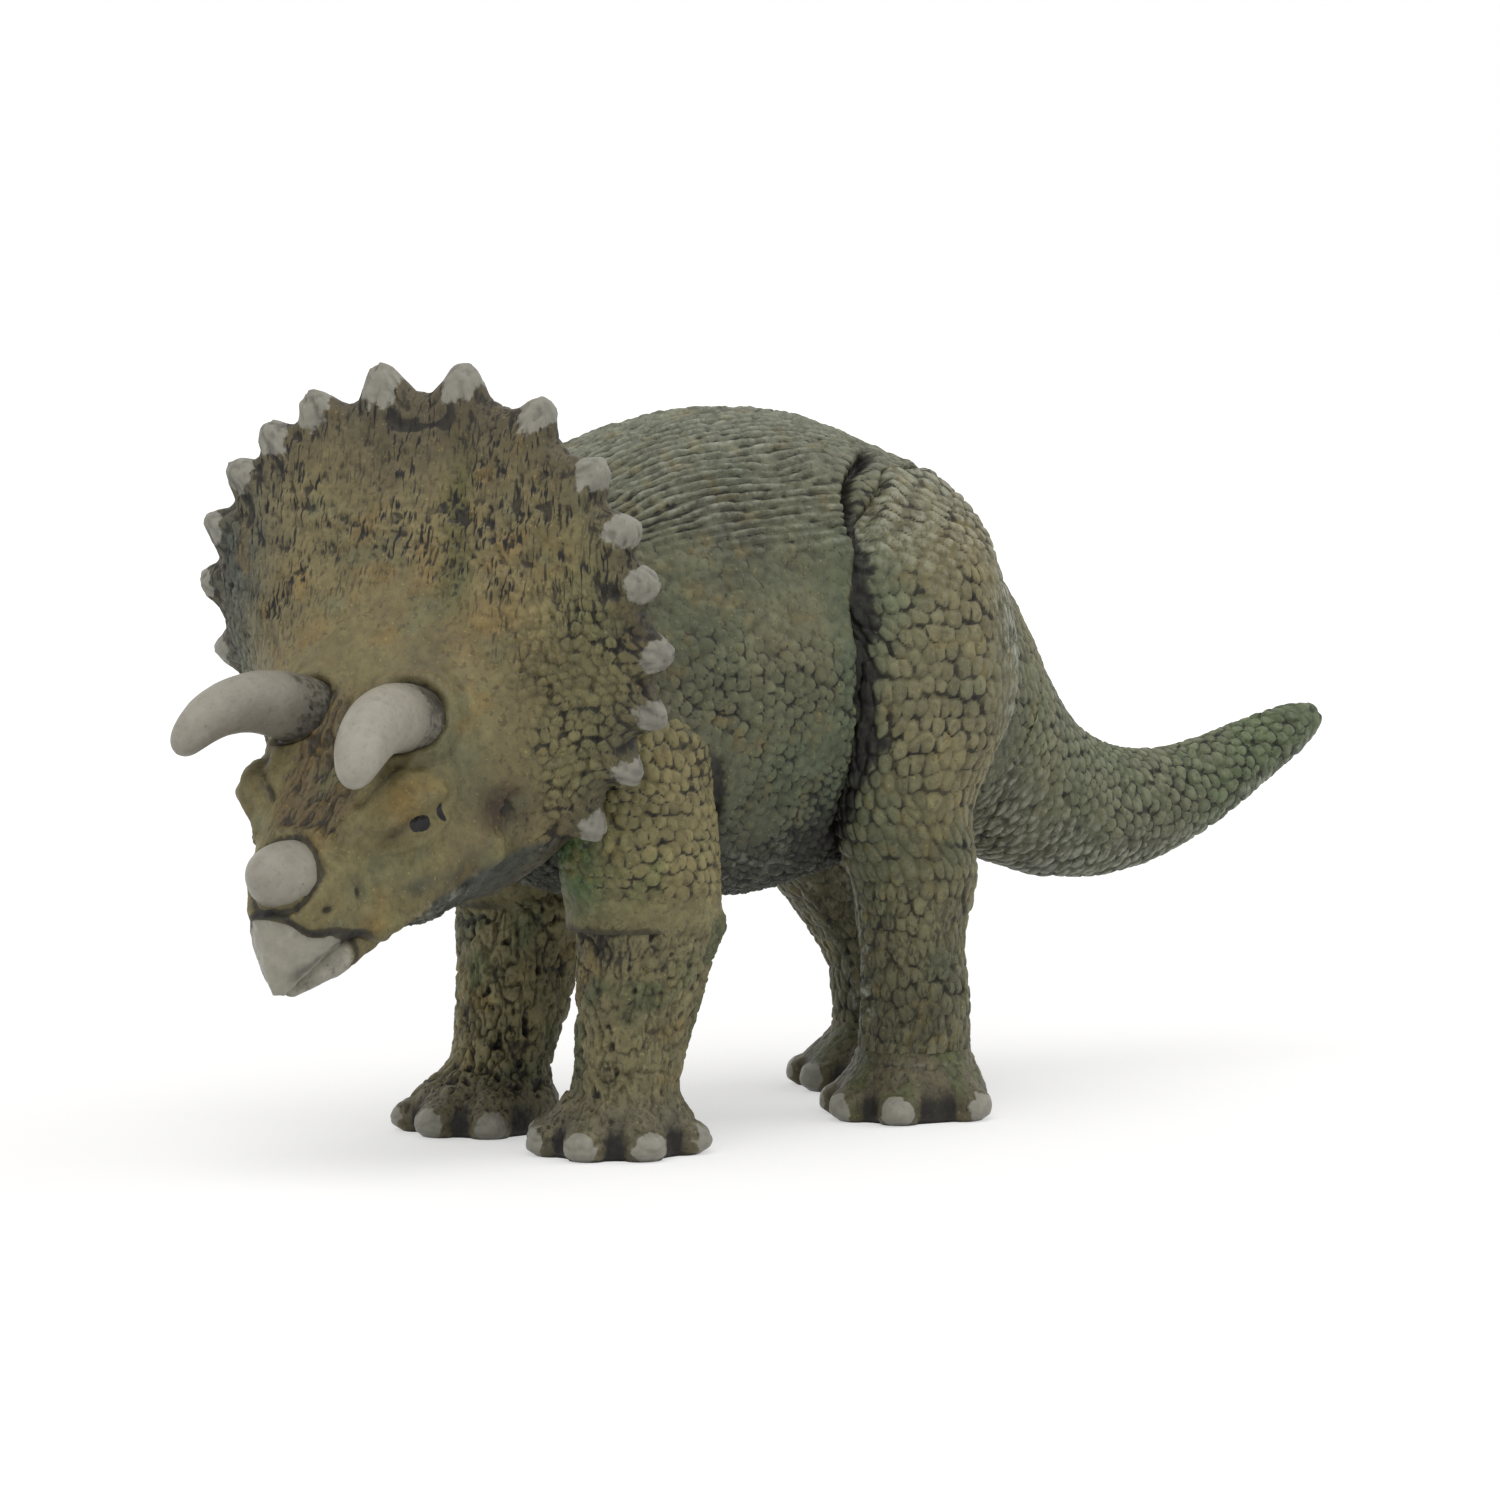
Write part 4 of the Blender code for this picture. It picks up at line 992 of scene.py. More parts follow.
# Painted shade: the underside of the tail is coated darker.
tail_marks = {
    "coat": layered(body_coat(tail_grid), (tail_olive, ramp(along, 0.60, 0.68)),
                    (tail_green, ramp(along, 0.80, 0.95) + 0.5 * ramp(cloud(tail_grid, 4 * mm, 67), 0, 0.5)),
                    (belly_shade, 0.4 * below)) * (0.84 + 0.32 * own)[..., None],
    "wash_and_shade": np.clip(dark * worn, 0, 1),
    "rub": np.clip(ramp(dome, 0.0, 0.2) * (0.10 + 0.55 * below) * worn, 0, 1)}
skin("tail_skin", raised(tail_grid, relief), tail_marks, vinyl("tail_paint"), "tail_vinyl", "tail")

# Frill: the back half of the head's casting, a thin concave shield with a dark washed rim, drawn out into
# eighteen blunt studs whose tips are painted pale.
head_place = np.array((0.5 * mm, 3.5 * mm - chest_reach, 40.0 * mm))
head_turn = np.radians(20.0)
head_nod = np.radians(20.0)
face_length = 30.0 * mm
frill_width = 41.4 * mm
frill_rise = 20.0 * mm
stud_height = 1.8 * mm
head_ahead = np.array((np.sin(head_turn) * np.cos(head_nod), -np.cos(head_turn) * np.cos(head_nod),
                       -np.sin(head_nod)))
head_left = np.array((np.cos(head_turn), np.sin(head_turn), 0.0))
head_up = np.cross(head_ahead, head_left)
rim_squareness = 0.09
rim_row = 5
head_full_share = 0.9878
# Station columns: the forward place of the top, side and bottom lines, the half width, the same three heights,
# then how far the throat hangs below and how far the jowls stand out
head_shares = (
    (-0.400, -0.400, -0.400, 0.140, 0.200, -0.150, -0.450, 0.000, 0.000),
    (-0.310, -0.310, -0.310, 0.195, 0.350, -0.150, -0.600, 0.000, 0.000),
    (-0.250, -0.220, -0.080, 0.240, 0.480, -0.100, -0.690, 0.060, 0.000),
    (-0.240, -0.130, 0.060, 0.385, 0.780, 0.060, -0.710, 0.175, 0.000),
    (-0.200, -0.030, 0.170, 0.475, 0.955, 0.130, -0.710, 0.230, 0.000),
    (-0.155, 0.030, 0.240, 0.495, 0.995, 0.145, -0.710, 0.230, 0.000),
    (-0.105, 0.075, 0.290, 0.475, 0.945, 0.135, -0.700, 0.225, 0.000),
    (0.000, 0.145, 0.340, 0.385, 0.670, 0.030, -0.690, 0.220, 0.020),
    (0.185, 0.270, 0.410, 0.280, 0.335, -0.125, -0.690, 0.210, 0.060),
    (0.330, 0.390, 0.480, 0.225, 0.155, -0.225, -0.700, 0.170, 0.110),
    (0.455, 0.490, 0.550, 0.200, 0.020, -0.290, -0.700, 0.120, 0.130),
    (0.580, 0.600, 0.640, 0.195, -0.100, -0.310, -0.700, 0.050, 0.130),
    (0.700, 0.700, 0.720, 0.140, -0.215, -0.420, -0.700, 0.000, 0.100),
    (0.830, 0.800, 0.780, 0.108, -0.300, -0.520, -0.710, 0.000, 0.030),
    (0.935, 0.885, 0.850, 0.090, -0.430, -0.610, -0.740, 0.000, 0.000),
    (0.990, 0.950, 0.915, 0.050, -0.640, -0.720, -0.790, 0.000, 0.000),
    (0.990, 0.975, 0.960, 0.010, -0.790, -0.800, -0.810, 0.000, 0.000))
stud_angles = (-50.0, -35.5, -21.5, -6.0, 10.0, 23.5, 40.0, 61.0, 82.0, 99.5, 117.0, 130.0, 143.0, 158.5, 173.5,
               189.5, 205.0, 221.0)
head_rows = np.array(head_shares) * ([face_length] * 3 + [frill_width] + [frill_rise] * 5)
head_spacing = head_rows[:, [1, 3, 4]]


def head_rings(t, a):
    """Rings of the head in its own axes, ahead, leftward and up.

    Ahead = side cos^2 a + top sin^2 a above or bottom sin^2 a below; leftward = half width |cos a|^p + jowl;
    up = middle + (top or bottom - middle) |sin a|^p - throat sin^4 a - jowl below, where p falls from 1 as the
    section grows to the rim, and the jowl follows sin^2 2a / sqrt 2.
    """
    row = glide(head_rows, t)
    top_f, side_f, bottom_f, half, top_u, side_u, bottom_u, throat, jowl = (column[:, None] for column in row.T)
    out, over, under = np.cos(a), np.maximum(np.sin(a), 0), np.maximum(-np.sin(a), 0)
    power = 1 - rim_squareness * (half / (head_rows[rim_row, 3])) ** 2
    ahead = side_f * out ** 2 + top_f * over ** 2 + bottom_f * under ** 2
    corner = jowl * (2 * out * under) ** 2 / np.sqrt(2)
    left = np.sign(out) * (half * np.abs(out) ** power + corner) * head_full_share
    rise = side_u + ((top_u - side_u) * over ** power + (bottom_u - side_u) * under ** power
                     - throat * under ** 4 - corner) * head_full_share
    return np.stack((ahead, left, rise), -1)


def in_body(own):
    """Points of the head's own axes in the figure's: place + f ahead + l leftward + u up."""
    return head_place + own[..., :1] * head_ahead + own[..., 1:2] * head_left + own[..., 2:] * head_up


def head_steps(first, last, count):
    """Even steps along the head's skin, from one station row to another."""
    return even_steps(head_spacing, first / 16, last / 16, count)


# Places on the head are given ahead, leftward and up from the middle of the frill, in mm
frill_brown = linear(117, 107, 75)
frill_dark = linear(84, 77, 60)
frill_green = linear(106, 104, 72)
rim_blue = linear(78, 86, 82)
valley_green = linear(84, 84, 46)
rust = linear(124, 100, 54)
face_brown = linear(115, 107, 73)
brow_brown = linear(92, 78, 52)
snout_green = linear(108, 110, 82)
snout_pale = linear(124, 117, 82)
throat_shade_grey = linear(66, 69, 60)
cheek_dark = linear(70, 68, 52)
ear_brown = linear(58, 44, 38)
tip_grey = linear(146, 144, 132)
head_patches = (
    ((-1.0, 0.0, 18.0), (5.0, 13.0, 4.0), frill_dark, 0.90),
    ((2.0, -17.0, 8.0), (6.0, 4.0, 7.0), rim_blue, 0.90),
    ((2.0, -17.5, -1.0), (6.0, 3.0, 5.0), rim_blue, 0.80),
    ((3.0, 17.5, 6.0), (6.0, 5.0, 8.0), frill_green, 0.90),
    ((4.0, 16.0, -6.0), (6.0, 6.0, 6.0), frill_green, 0.80),
    ((1.0, 4.4, 12.0), (6.0, 1.1, 5.5), valley_green, 0.85),
    ((4.5, 5.6, 7.5), (4.0, 1.3, 3.0), valley_green, 0.70),
    ((5.0, 2.8, 8.0), (4.0, 1.4, 2.6), rust, 0.45),
    ((6.0, 9.5, 4.5), (4.0, 3.4, 2.0), rust, 0.50),
    ((3.0, 13.0, 9.0), (4.0, 3.0, 2.0), rust, 0.40),
    ((9.3, 4.5, 3.0), (3.0, 2.4, 2.6), frill_dark, 0.40),
    ((11.5, 8.5, -3.0), (3.5, 2.0, 4.0), snout_green, 0.70),
    ((10.0, 9.8, -8.7), (2.1, 2.2, 2.4), ear_brown, 1.0),
    ((22.0, 4.0, -9.0), (2.2, 1.8, 3.0), snout_pale, 0.80),
    # Painted shade below the eye, above the mouth corner.
    ((19.4, 8.0, -10.9), (1.6, 2.0, 0.9), throat_shade_grey, 0.75),
    ((19.5, 6.8, -6.4), (1.1, 1.2, 0.6), ear_brown, 0.60),
    # Painted shade under the cheekbone, in the next two patches.
    ((15.2, 8.3, -11.6), (2.4, 2.0, 1.3), cheek_dark, 0.85),
    ((12.0, 9.0, -12.8), (2.0, 2.0, 1.0), cheek_dark, 0.85),
    ((14.0, 9.0, -3.0), (2.0, 2.0, 4.0), cheek_dark, 0.45),
    ((11.3, 9.3, -11.4), (0.8, 1.4, 0.7), patch_ochre, 0.80),
    ((17.6, 6.9, -4.6), (2.6, 2.0, 0.8), patch_ochre, 0.85),
    ((20.9, 4.8, -13.6), (1.6, 1.6, 1.1), patch_ochre, 0.70),
    ((24.0, 2.2, -5.6), (1.6, 1.4, 1.0), rust, 0.70),
)


def head_coat(own):
    """Colour of the head by place: frill and face brown, a dark brow between the horns, a throat greyed with painted
    shade, patches.
    """
    f, l, u = (own[..., k] for k in range(3))
    shift = 1.0 * mm * cloud(own, 3 * mm, 72)
    made = layered(np.broadcast_to(frill_brown, own.shape),
                   (face_brown, ramp(f + 0.5 * u + shift, 9 * mm, 13 * mm)))
    made = patched(made, own + shift[..., None], head_patches)
    brow = (ramp(-np.abs(l) + 0.8 * shift, -4.2 * mm, -2.6 * mm) * ramp(f, 10 * mm, 14 * mm)
            * ramp(-f, -24 * mm, -22 * mm))
    # Painted shade: the underside of the head, at the throat, is coated grey.
    below = ramp(-u - 1.6 * mm * ramp(f, 17.5 * mm, 20 * mm) + 0.3 * shift, 12.2 * mm, 13.2 * mm)
    return layered(made, (brow_brown, 0.9 * brow * ramp(u, -8 * mm, -4 * mm)),
                   (rust, 0.4 * ramp(cloud(own, 2.5 * mm, 76), 0.25, 0.6)),
                   (snout_green, 0.5 * ramp(-cloud(own, 3.0 * mm, 77), 0.2, 0.6)),
                   (throat_shade_grey, below * ramp(-f, -22 * mm, -19 * mm)))


# Soft lumps and hollows on both sides of the head: middle, reach and height in mm
head_lumps = (
    ((18.2, 6.6, -3.9), (2.8, 2.0, 1.7), 1.90),
    ((14.4, 8.6, -4.4), (1.6, 1.8, 2.4), 0.70),
    ((20.3, 6.0, -7.2), (1.2, 1.6, 0.9), -0.45),
    ((19.4, 3.5, -15.4), (1.8, 3.2, 1.2), -1.30),
    ((11.4, 9.0, -11.5), (1.3, 1.6, 1.2), 1.10),
    ((15.0, 8.6, -10.6), (3.6, 2.6, 1.8), 0.45),
    ((18.4, 7.4, -8.9), (2.2, 1.8, 0.8), -0.35),
    ((21.2, 4.8, -14.0), (1.4, 1.5, 1.1), 1.00),
    ((22.3, 3.2, -15.0), (0.7, 1.2, 0.9), 0.60),
    ((23.6, 3.6, -8.6), (1.4, 1.6, 1.6), 0.35),
    ((10.0, 9.8, -8.7), (1.5, 2.0, 2.0), -0.90),
    ((17.9, 7.9, -6.6), (1.4, 1.6, 0.8), -0.35),
    ((25.8, 3.7, -10.3), (0.4, 0.8, 0.35), -0.40),
    ((23.2, 4.9, -10.0), (0.25, 0.9, 0.65), -0.35),
    ((18.5, 0.0, -3.2), (5.0, 1.6, 2.5), -0.75),
    ((12.6, 10.6, -2.0), (1.4, 2.0, 5.0), 0.40),
)
brow_axis = np.array(((13.05, 5.0, 0.0), (17.2, 5.7, 2.8))) * mm
nose_axis = np.array(((22.5, 0.0, -9.5), (26.0, 0.0, -7.6))) * mm
lid_path = np.array(((21.3, 5.2, -6.5), (18.8, 6.9, -5.3), (15.6, 8.2, -5.0))) * mm
lower_lid_path = np.array(((20.0, 6.5, -7.9), (17.8, 8.0, -8.0), (15.4, 8.4, -7.2))) * mm


def head_relief(own):
    """Relief of the casting by place in metres, and the dark in it: lumps, lids and a ring round each horn."""
    near = mirrored(own, 1)
    lumps = sum(height * spot(near, middle, reach) for middle, reach, height in head_lumps)
    lid = bell(off_path(near, lid_path), 0, 0.6 * mm)
    lower_lid = bell(off_path(near, lower_lid_path), 0, 0.4 * mm)
    brow_crease = np.array(((16.6, 6.0, -2.6), (17.5, 5.6, -3.4), (19.7, 4.1, -4.4))) * mm
    crease = np.maximum(bell(off_path(near, lid_path + np.array((0.2, 0.0, 1.1)) * mm), 0, 0.4 * mm),
                        bell(off_path(near, brow_crease), 0, 0.45 * mm))
    off_brow = off_path(near, brow_axis) + 0.25 * mm * cloud(own, 1.2 * mm, 88)
    off_nose = off_path(near, nose_axis) + 0.25 * mm * cloud(own, 1.2 * mm, 88)
    rings = bell(off_brow, 3.5 * mm, 0.6 * mm) + 0.7 * bell(off_nose, 3.7 * mm, 0.5 * mm)
    gaps = bell(off_brow, 2.8 * mm, 0.28 * mm) + bell(off_nose, 3.05 * mm, 0.30 * mm)
    outer = bell(off_brow, 4.4 * mm, 0.35 * mm) * ramp(near[..., 1], 5 * mm, 7 * mm)
    relief = (0.12 * cloud(own, 0.85 * mm, 73) + 0.10 * cloud(own, 2.0 * mm, 87) + lumps + 0.60 * lid
              + 0.45 * lower_lid - 0.45 * crease + 0.35 * rings - 0.25 * gaps - 0.20 * outer) * mm
    ear = spot(near, (10.0, 9.8, -8.7), (1.5, 2.0, 2.0))
    tangle = ear * ramp(cloud(own, 0.7 * mm, 83), -0.2, 0.4)
    dark = np.clip(0.75 * gaps + 0.48 * crease + 0.30 * outer + 0.7 * ear - 0.6 * tangle, 0, 1)
    return relief + 0.4 * mm * tangle, dark


face_row = 8.5
frill_split = 4.6
frill_columns = 520
frill_t = np.concatenate((head_steps(0.0, frill_split, 90)[:-1], head_steps(frill_split, face_row, 185)))
frill_a = np.linspace(0, 2 * np.pi, frill_columns, endpoint=False)[None]
own_grid = head_rings(frill_t, frill_a)
row_place = frill_t[:, None] * 16 * np.ones((1, frill_columns))
normal = outward(own_grid)
rim_ring = head_rings(np.array((rim_row / 16,)), frill_a)[0]
rim_middle = np.array((head_rows[rim_row, 1], 0.0, head_rows[rim_row, 5]))
frill_skin = own_grid.copy()
tip = np.zeros(row_place.shape)
stud_foot = np.zeros(row_place.shape)
for stud in stud_angles:
    root = head_rings(np.array((rim_row / 16,)), np.radians(np.array([[stud]])))[0, 0]
    away = root - rim_middle
    away = away / np.linalg.norm(away)
    size = 0.95 + 0.25 * bell(stud, 88.0, 45.0)
    root = root - 0.4 * mm * away
    reach = np.linalg.norm(own_grid - root, axis=-1) / size
    peak = np.exp(-(reach / (1.60 * mm)) ** 3)
    frill_skin = frill_skin + away * (stud_height * 1.22 * size * peak)[..., None]
    tip = np.maximum(tip, 1 - 0.5 * reach / (1.50 * mm))
    stud_foot = np.maximum(stud_foot, bell(reach, 1.9 * mm, 0.5 * mm))
f, l, u = (own_grid[..., k] for k in range(3))
rim_off = np.linalg.norm(own_grid - rim_ring[None], axis=-1)
behind = 1 - ramp(row_place, 4.2, 4.8)
fade = ramp(-row_place, -8.4, -7.4)
dark_rim = bell(rim_off, 0.0, 2.4 * mm + 1.0 * mm * cloud(own_grid, 2 * mm, 78))
head_turn_share = l / (60 * mm) + 0.5
dome, dark, own = scales(own_grid, u + 40 * mm, head_turn_share, 0 * tip + 60 * mm, 0.85 * mm, 0.80 * mm, 71)
left_half = ramp(l + 2 * mm * cloud(own_grid, 4 * mm, 79), 9 * mm, 13 * mm) * ramp(-u, -10 * mm, -3 * mm)
pebbled = np.clip(behind + left_half + 0.5 * ramp(-l, 13 * mm, 16 * mm), 0, 1) * np.maximum(fade, behind)
streaked = ramp(u + 3 * mm * cloud(own_grid, 5 * mm, 80), -2 * mm, 4 * mm) * (1 - behind) * fade
streaked = streaked * (1 - 0.6 * pebbled)
patchy = np.clip(0.65 + 0.9 * cloud(own_grid, 2.8 * mm, 82), 0, 1)
bumps = cloud(own_grid, 0.55 * mm, 89, 2)
# Furrows run down the shield and lean with it towards the valley
lean = own_grid + np.array((0.0, 0.35, 0.0)) * (u * ramp(-l, -4 * mm, 4 * mm))[..., None]
long_folds = cloud(lean * (1.0, 1.0, 0.16), 0.42 * mm, 75)
valley_path = np.array(((-1.0, 4.0, 16.0), (2.0, 4.8, 10.5), (6.5, 6.0, 5.5))) * mm
valley = bell(off_path(own_grid, valley_path), 0, 1.3 * mm)
shared, shared_dark = head_relief(own_grid)
relief = ((0.10 * bumps + 0.34 * long_folds * streaked * patchy) * fade * (1 - behind) + 0.34 * dome * pebbled
          + 0.10 * bumps * behind - 0.45 * valley * (1 - behind)) * mm + shared * (1 - behind)
frill_skin = frill_skin + normal * relief[..., None]
coat = layered(head_coat(own_grid), (body_coat(in_body(own_grid)), behind), (frill_dark, 0.75 * dark_rim))
frill_marks = {
    "coat": coat * (1 + 0.10 * bumps * fade + pebbled * 0.2 * (own - 0.5))[..., None],
    "wash_and_shade": np.clip(dark * pebbled * patchy + dark_rim * 0.18 + 0.14 * stud_foot + shared_dark * (1 - behind)
                    + (0.35 * ramp(-bumps, 0.25, 0.5) + 0.75 * ramp(-long_folds, 0.15, 0.40) * streaked * patchy
                       + 0.15 * valley) * (1 - behind) * fade, 0, 1),
    "rub": 0 * tip, "tip": tip + 0.10 * cloud(own_grid, 1.0 * mm, 84),
    "furrow": np.clip(streaked * patchy * 1.2 + 0.25 * (1 - behind) * patchy * fade, 0, 1)}
frame_axes = tuple(Matrix((tuple(head_left), tuple(-head_ahead), tuple(head_up))).transposed().to_euler())
frill_paint = vinyl("frill_paint", (("tip", tip_grey, 0.45),), furrow_axes=frame_axes,
                    pit_share=0.40, furrow_sizes=(0.26 * mm, 0.7 * mm, 4.0 * mm))
skin("frill_back", in_body(frill_skin), frill_marks, frill_paint, "head_vinyl", "head", part=slice(90))
skin("frill_front", in_body(frill_skin), frill_marks, frill_paint, "head_vinyl", part=slice(89, None))

# Face: the front half of the same casting, smooth brown cheeks with heavy lids over black eyes, running out into
# the pale upper beak.
beak_grey = linear(150, 147, 134)
eye_black = linear(24, 24, 26)
face_t = head_steps(face_row, 16.0, 180)
face_a = np.linspace(0, 2 * np.pi, 380, endpoint=False)[None]
own_grid = head_rings(face_t, face_a)
normal = outward(own_grid)
near = mirrored(own_grid, 1)
f, l, u = (near[..., k] for k in range(3))
fade = ramp(face_t[:, None] * 16, 8.6, 9.4)
bumps = cloud(own_grid, 0.9 * mm, 81, 2) * fade
brow_field = ramp(-l, -4.4 * mm, -2.4 * mm) * ramp(f, 10 * mm, 14 * mm) * ramp(-f, -24 * mm, -22 * mm) * fade
brow_folds = creases(own_grid, (3.2 * mm, 0.55 * mm, 1.2 * mm), 85, 0.14) * brow_field
throat = ramp(-u, 12.4 * mm, 13.4 * mm) * ramp(-f, -21 * mm, -18.5 * mm) * fade
throat_folds = creases(own_grid, (2.6 * mm, 1.2 * mm, 0.7 * mm), 86, 0.12) * throat
corner_path = np.array(((23.4, 3.8, -13.0), (21.6, 4.8, -13.3), (20.4, 5.2, -14.2))) * mm
mouth_corner = bell(off_path(near, corner_path), 0, 0.35 * mm)
mouth_path = np.array(((28.9, 1.6, -14.7), (26.9, 3.0, -14.0), (25.3, 3.4, -13.7), (23.4, 3.8, -13.5))) * mm
mouth_line = bell(off_path(near, mouth_path) + 0.2 * mm * cloud(own_grid, 0.8 * mm, 90), 0, 0.45 * mm)
shared, shared_dark = head_relief(own_grid)
relief = shared + (0.06 * bumps - 0.25 * brow_folds + 0.25 * throat_folds - 0.40 * mouth_corner) * mm


def paint_spot(points, middle, along, down):
    """A sharp oval of paint for vinyl, in mm: 1 - 0.5 hypot(share of the half axis along, share of the one down)."""
    off = points / mm - np.array(middle)
    along, down = np.array(along), np.array(down)
    return 1 - 0.5 * np.hypot(off @ along / (along @ along), off @ down / (down @ down))


eye = np.maximum(paint_spot(near, (17.65, 7.7, -6.65), (-0.85, 0.4, -0.35), (0.25, 0.05, -0.60)),
                 paint_spot(near, (15.9, 8.4, -6.4), (-0.24, 0.1, 0.0), (0.3, 0.1, -0.75)))
beak_line = 24.5 * mm + 0.9 * mm * bell(l, 2.9 * mm, 1.1 * mm)
beak = 0.5 + (0.567 * f - 0.825 * u - beak_line) / (1.2 * mm)
beak_shade = bell(0.567 * f - 0.825 * u - beak_line, -0.30 * mm, 0.40 * mm)
holes = spot(near, (25.8, 3.7, -10.3), (0.4, 0.9, 0.32)) + spot(near, (23.2, 4.9, -10.0), (0.22, 0.9, 0.6))
eye_shade = bell(off_path(near, lid_path + np.array((0.2, 0.3, -0.9)) * mm), 0, 0.35 * mm)
# Painted shade in the wash_and_shade attribute: on the throat, under the upper lid and along the beak's edge.
face_marks = {
    "coat": head_coat(own_grid) * (1 + 0.10 * bumps)[..., None],
    "wash_and_shade": np.clip(shared_dark + 0.25 * ramp(-bumps, 0.3, 0.6) + 0.85 * mouth_line + 0.52 * brow_folds
                    + 0.9 * beak_shade + 0.9 * holes + 0.8 * mouth_corner + 0.16 * brow_field + 0.35 * throat
                    + 0.35 * eye_shade, 0, 1),
    "rub": 0.5 * throat_folds, "eye": eye, "beak": beak,
    "furrow": np.clip(0.35 * brow_field + 0.4 * throat + 0.12 * fade, 0, 1)}
face_paint = vinyl("face_paint", (("beak", beak_grey, 0.40), ("eye", eye_black, 0.25)), furrow_axes=frame_axes,
                   pit_share=0.20, furrow_sizes=(0.30 * mm, 0.6 * mm, 0.7 * mm))
skin("face", in_body(own_grid + normal * relief[..., None]), face_marks, face_paint, "head_vinyl")

# Horns: three blunt castings in grey vinyl, glued into sockets in the brow and the nose.
brow_horn_length = 13.2 * mm
brow_horn_width = 5.6 * mm
nose_horn_length = 6.6 * mm
nose_horn_width = 6.0 * mm
brow_root = np.array((0.435 * face_length, 0.121 * frill_width, 0.0))
brow_paths = {"left": ((-0.15, -0.02, -0.17), (0.00, 0.00, 0.00), (0.26, 0.05, 0.11), (0.52, 0.12, 0.14),
                       (0.73, 0.18, 0.10), (0.86, 0.22, 0.04), (0.92, 0.24, 0.00)),
              "right": ((-0.15, -0.02, -0.15), (0.00, 0.00, 0.02), (0.25, 0.06, 0.18), (0.49, 0.13, 0.25),
                        (0.69, 0.19, 0.22), (0.81, 0.22, 0.16), (0.87, 0.24, 0.12))}
brow_tapers = {"left": (1.00, 1.00, 0.94, 0.84, 0.70, 0.53, 0.27),
               "right": (1.00, 1.00, 0.88, 0.75, 0.62, 0.49, 0.26)}
nose_root = np.array((0.750 * face_length, 0.0, -0.475 * frill_rise))
nose_path = ((0.00, 0.00, 0.00), (0.30, 0.00, 0.15), (0.62, 0.00, 0.32), (0.84, 0.00, 0.44), (0.94, 0.00, 0.49))
nose_taper = (0.94, 1.00, 0.86, 0.56, 0.20)
horn_grey = linear(150, 146, 134)
horn_paint = vinyl("horn_paint", roughness=(0.36, 0.50), speck_share=0.10, mottle=0.07, pit_share=0.12)


def horn(name, root, path_shares, taper_shares, length, width, side, light_and_shade_tone):
    """A horn: rings of radius taper x width / 2 round a path, each ring square to the path."""
    path_points = root * (1, side, 1) + np.array(path_shares) * (length, side * length, length)
    rows = np.hstack((path_points, np.array(taper_shares)[:, None] * width / 2))
    closing = 0.03 * rows[-2] + 0.97 * rows[-1]
    closing[:3] = rows[-1, :3] + 0.2 * (rows[-1, :3] - rows[-2, :3])
    closing[3] = 0.1 * rows[-1, 3]
    rows = np.vstack((rows, closing))
    t = even_steps(rows, 0.0, 1.0, 90)
    made = glide(rows, t)
    ahead = np.gradient(made[:, :3], axis=0)
    ahead /= np.linalg.norm(ahead, axis=1, keepdims=True)
    across = np.cross(ahead, (0.0, 0.0, 1.0))
    across /= np.linalg.norm(across, axis=1, keepdims=True)
    over = np.cross(across, ahead)
    a = np.linspace(0, 2 * np.pi, 120, endpoint=False)[None, :, None]
    grid = made[:, None, :3] + made[:, None, 3:] * (across[:, None] * np.cos(a) + over[:, None] * np.sin(a))
    rough = cloud(grid, 1.6 * mm, 91)
    along = t[:, None] * np.ones(grid.shape[:2])
    marks = {"coat": np.broadcast_to(horn_grey, grid.shape) * (light_and_shade_tone + 0.06 * rough)[..., None],
             "wash_and_shade": np.clip(0.5 * ramp(-along, -0.30, -0.18) + 0.25 * ramp(cloud(grid, 2.4 * mm, 93), 0.2, 0.7)
                             + 0.5 * ramp(cloud(grid, 0.5 * mm, 94), 0.62, 0.75), 0, 1),
             "rub": 0 * rough}
    skin(name + "_skin", in_body(raised(grid, 0.05 * mm * rough)), marks, horn_paint, "horn_vinyl", name)


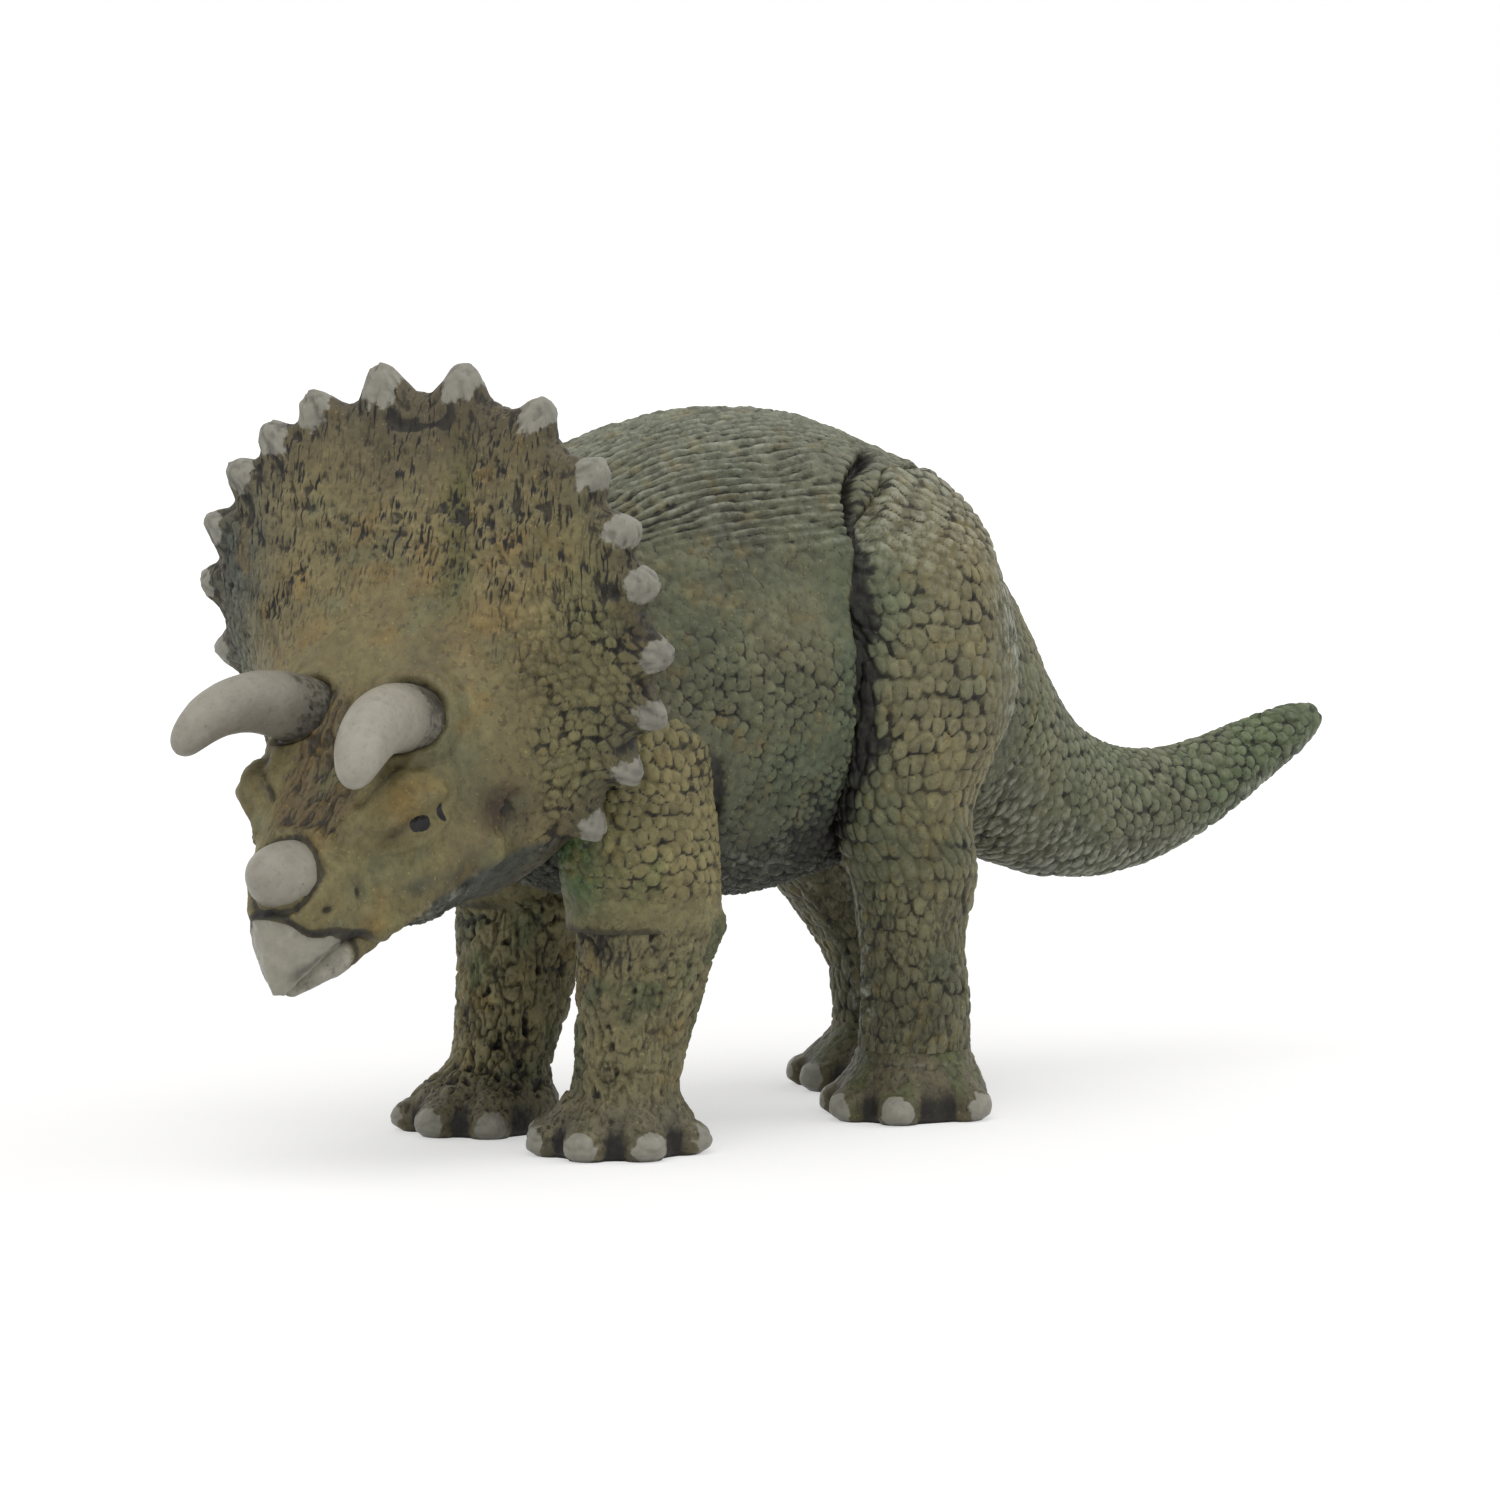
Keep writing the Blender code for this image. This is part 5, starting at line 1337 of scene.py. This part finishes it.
# Painted light and shade: the left brow horn is coated 7 % lighter and the right one 7 % darker.
for name, side in sides.items():
    horn("brow_horn_" + name, brow_root, brow_paths[name], brow_tapers[name], brow_horn_length, brow_horn_width,
         side, 1 + 0.07 * side)
horn("nose_horn", nose_root, nose_path, nose_taper, nose_horn_length, nose_horn_width, 1.0, 1.0)

# Lower jaw: a separate pale beak glued under the head, its lower edge ribbed like a lip.
jaw_length = 18.0 * mm
jaw_width = 11.4 * mm
jaw_depth = 4.0 * mm
jaw_root = 0.330 * face_length
mouth_height = -0.660 * frill_rise
jaw_shares = ((0.00, 0.26, 0.32, 0.00), (0.16, 0.48, 0.47, 0.05), (0.38, 0.50, 0.50, 0.08),
              (0.58, 0.42, 0.48, 0.16), (0.76, 0.33, 0.45, 0.36), (0.92, 0.22, 0.32, 0.55),
              (1.00, 0.08, 0.16, 0.74))
jaw_full_share = 0.9665
jaw_rows = np.array(jaw_shares) * (jaw_length, jaw_width, jaw_depth, jaw_depth)
t = even_steps(jaw_rows, 0.0, 1.0, 120)
forward, swell, thick, drop = (column[:, None] for column in glide(jaw_rows, t).T)
a = np.linspace(0, 2 * np.pi, 160, endpoint=False)[None]
grid = np.stack((jaw_root + forward + 0 * a, jaw_full_share * swell * np.cos(a),
                 mouth_height - drop + jaw_full_share * thick * np.sin(a)), -1)
rough = cloud(grid, 1.4 * mm, 95)
chin = np.maximum(-np.sin(a), 0) * bell(forward, 12.5 * mm, 4 * mm)
ribs = chin * cloud(grid * (1.0, 0.5, 0.5), 0.7 * mm, 96)
marks = {"coat": layered(np.broadcast_to(face_brown, grid.shape),
                         (beak_grey, ramp(forward + 0 * a, 13.7 * mm, 14.3 * mm))),
         "wash_and_shade": np.clip(0.3 * creases(grid, (1.2 * mm,) * 3, 97) + 0.5 * ramp(-ribs, 0.1, 0.4)
                         + 0.7 * bell(forward + 0 * a, 13.6 * mm, 0.4 * mm)
                         + 0.3 * ramp(-forward + 0 * a, -9 * mm, -5 * mm), 0, 1),
         "rub": 0 * rough}
relief = (0.08 * rough + 0.75 * chin + 0.25 * ribs) * mm
skin("lower_jaw_skin", in_body(raised(grid, relief)), marks,
     vinyl("jaw_paint", roughness=(0.36, 0.5), speck_share=0.15, pit_share=0.25), "horn_vinyl", "lower_jaw")
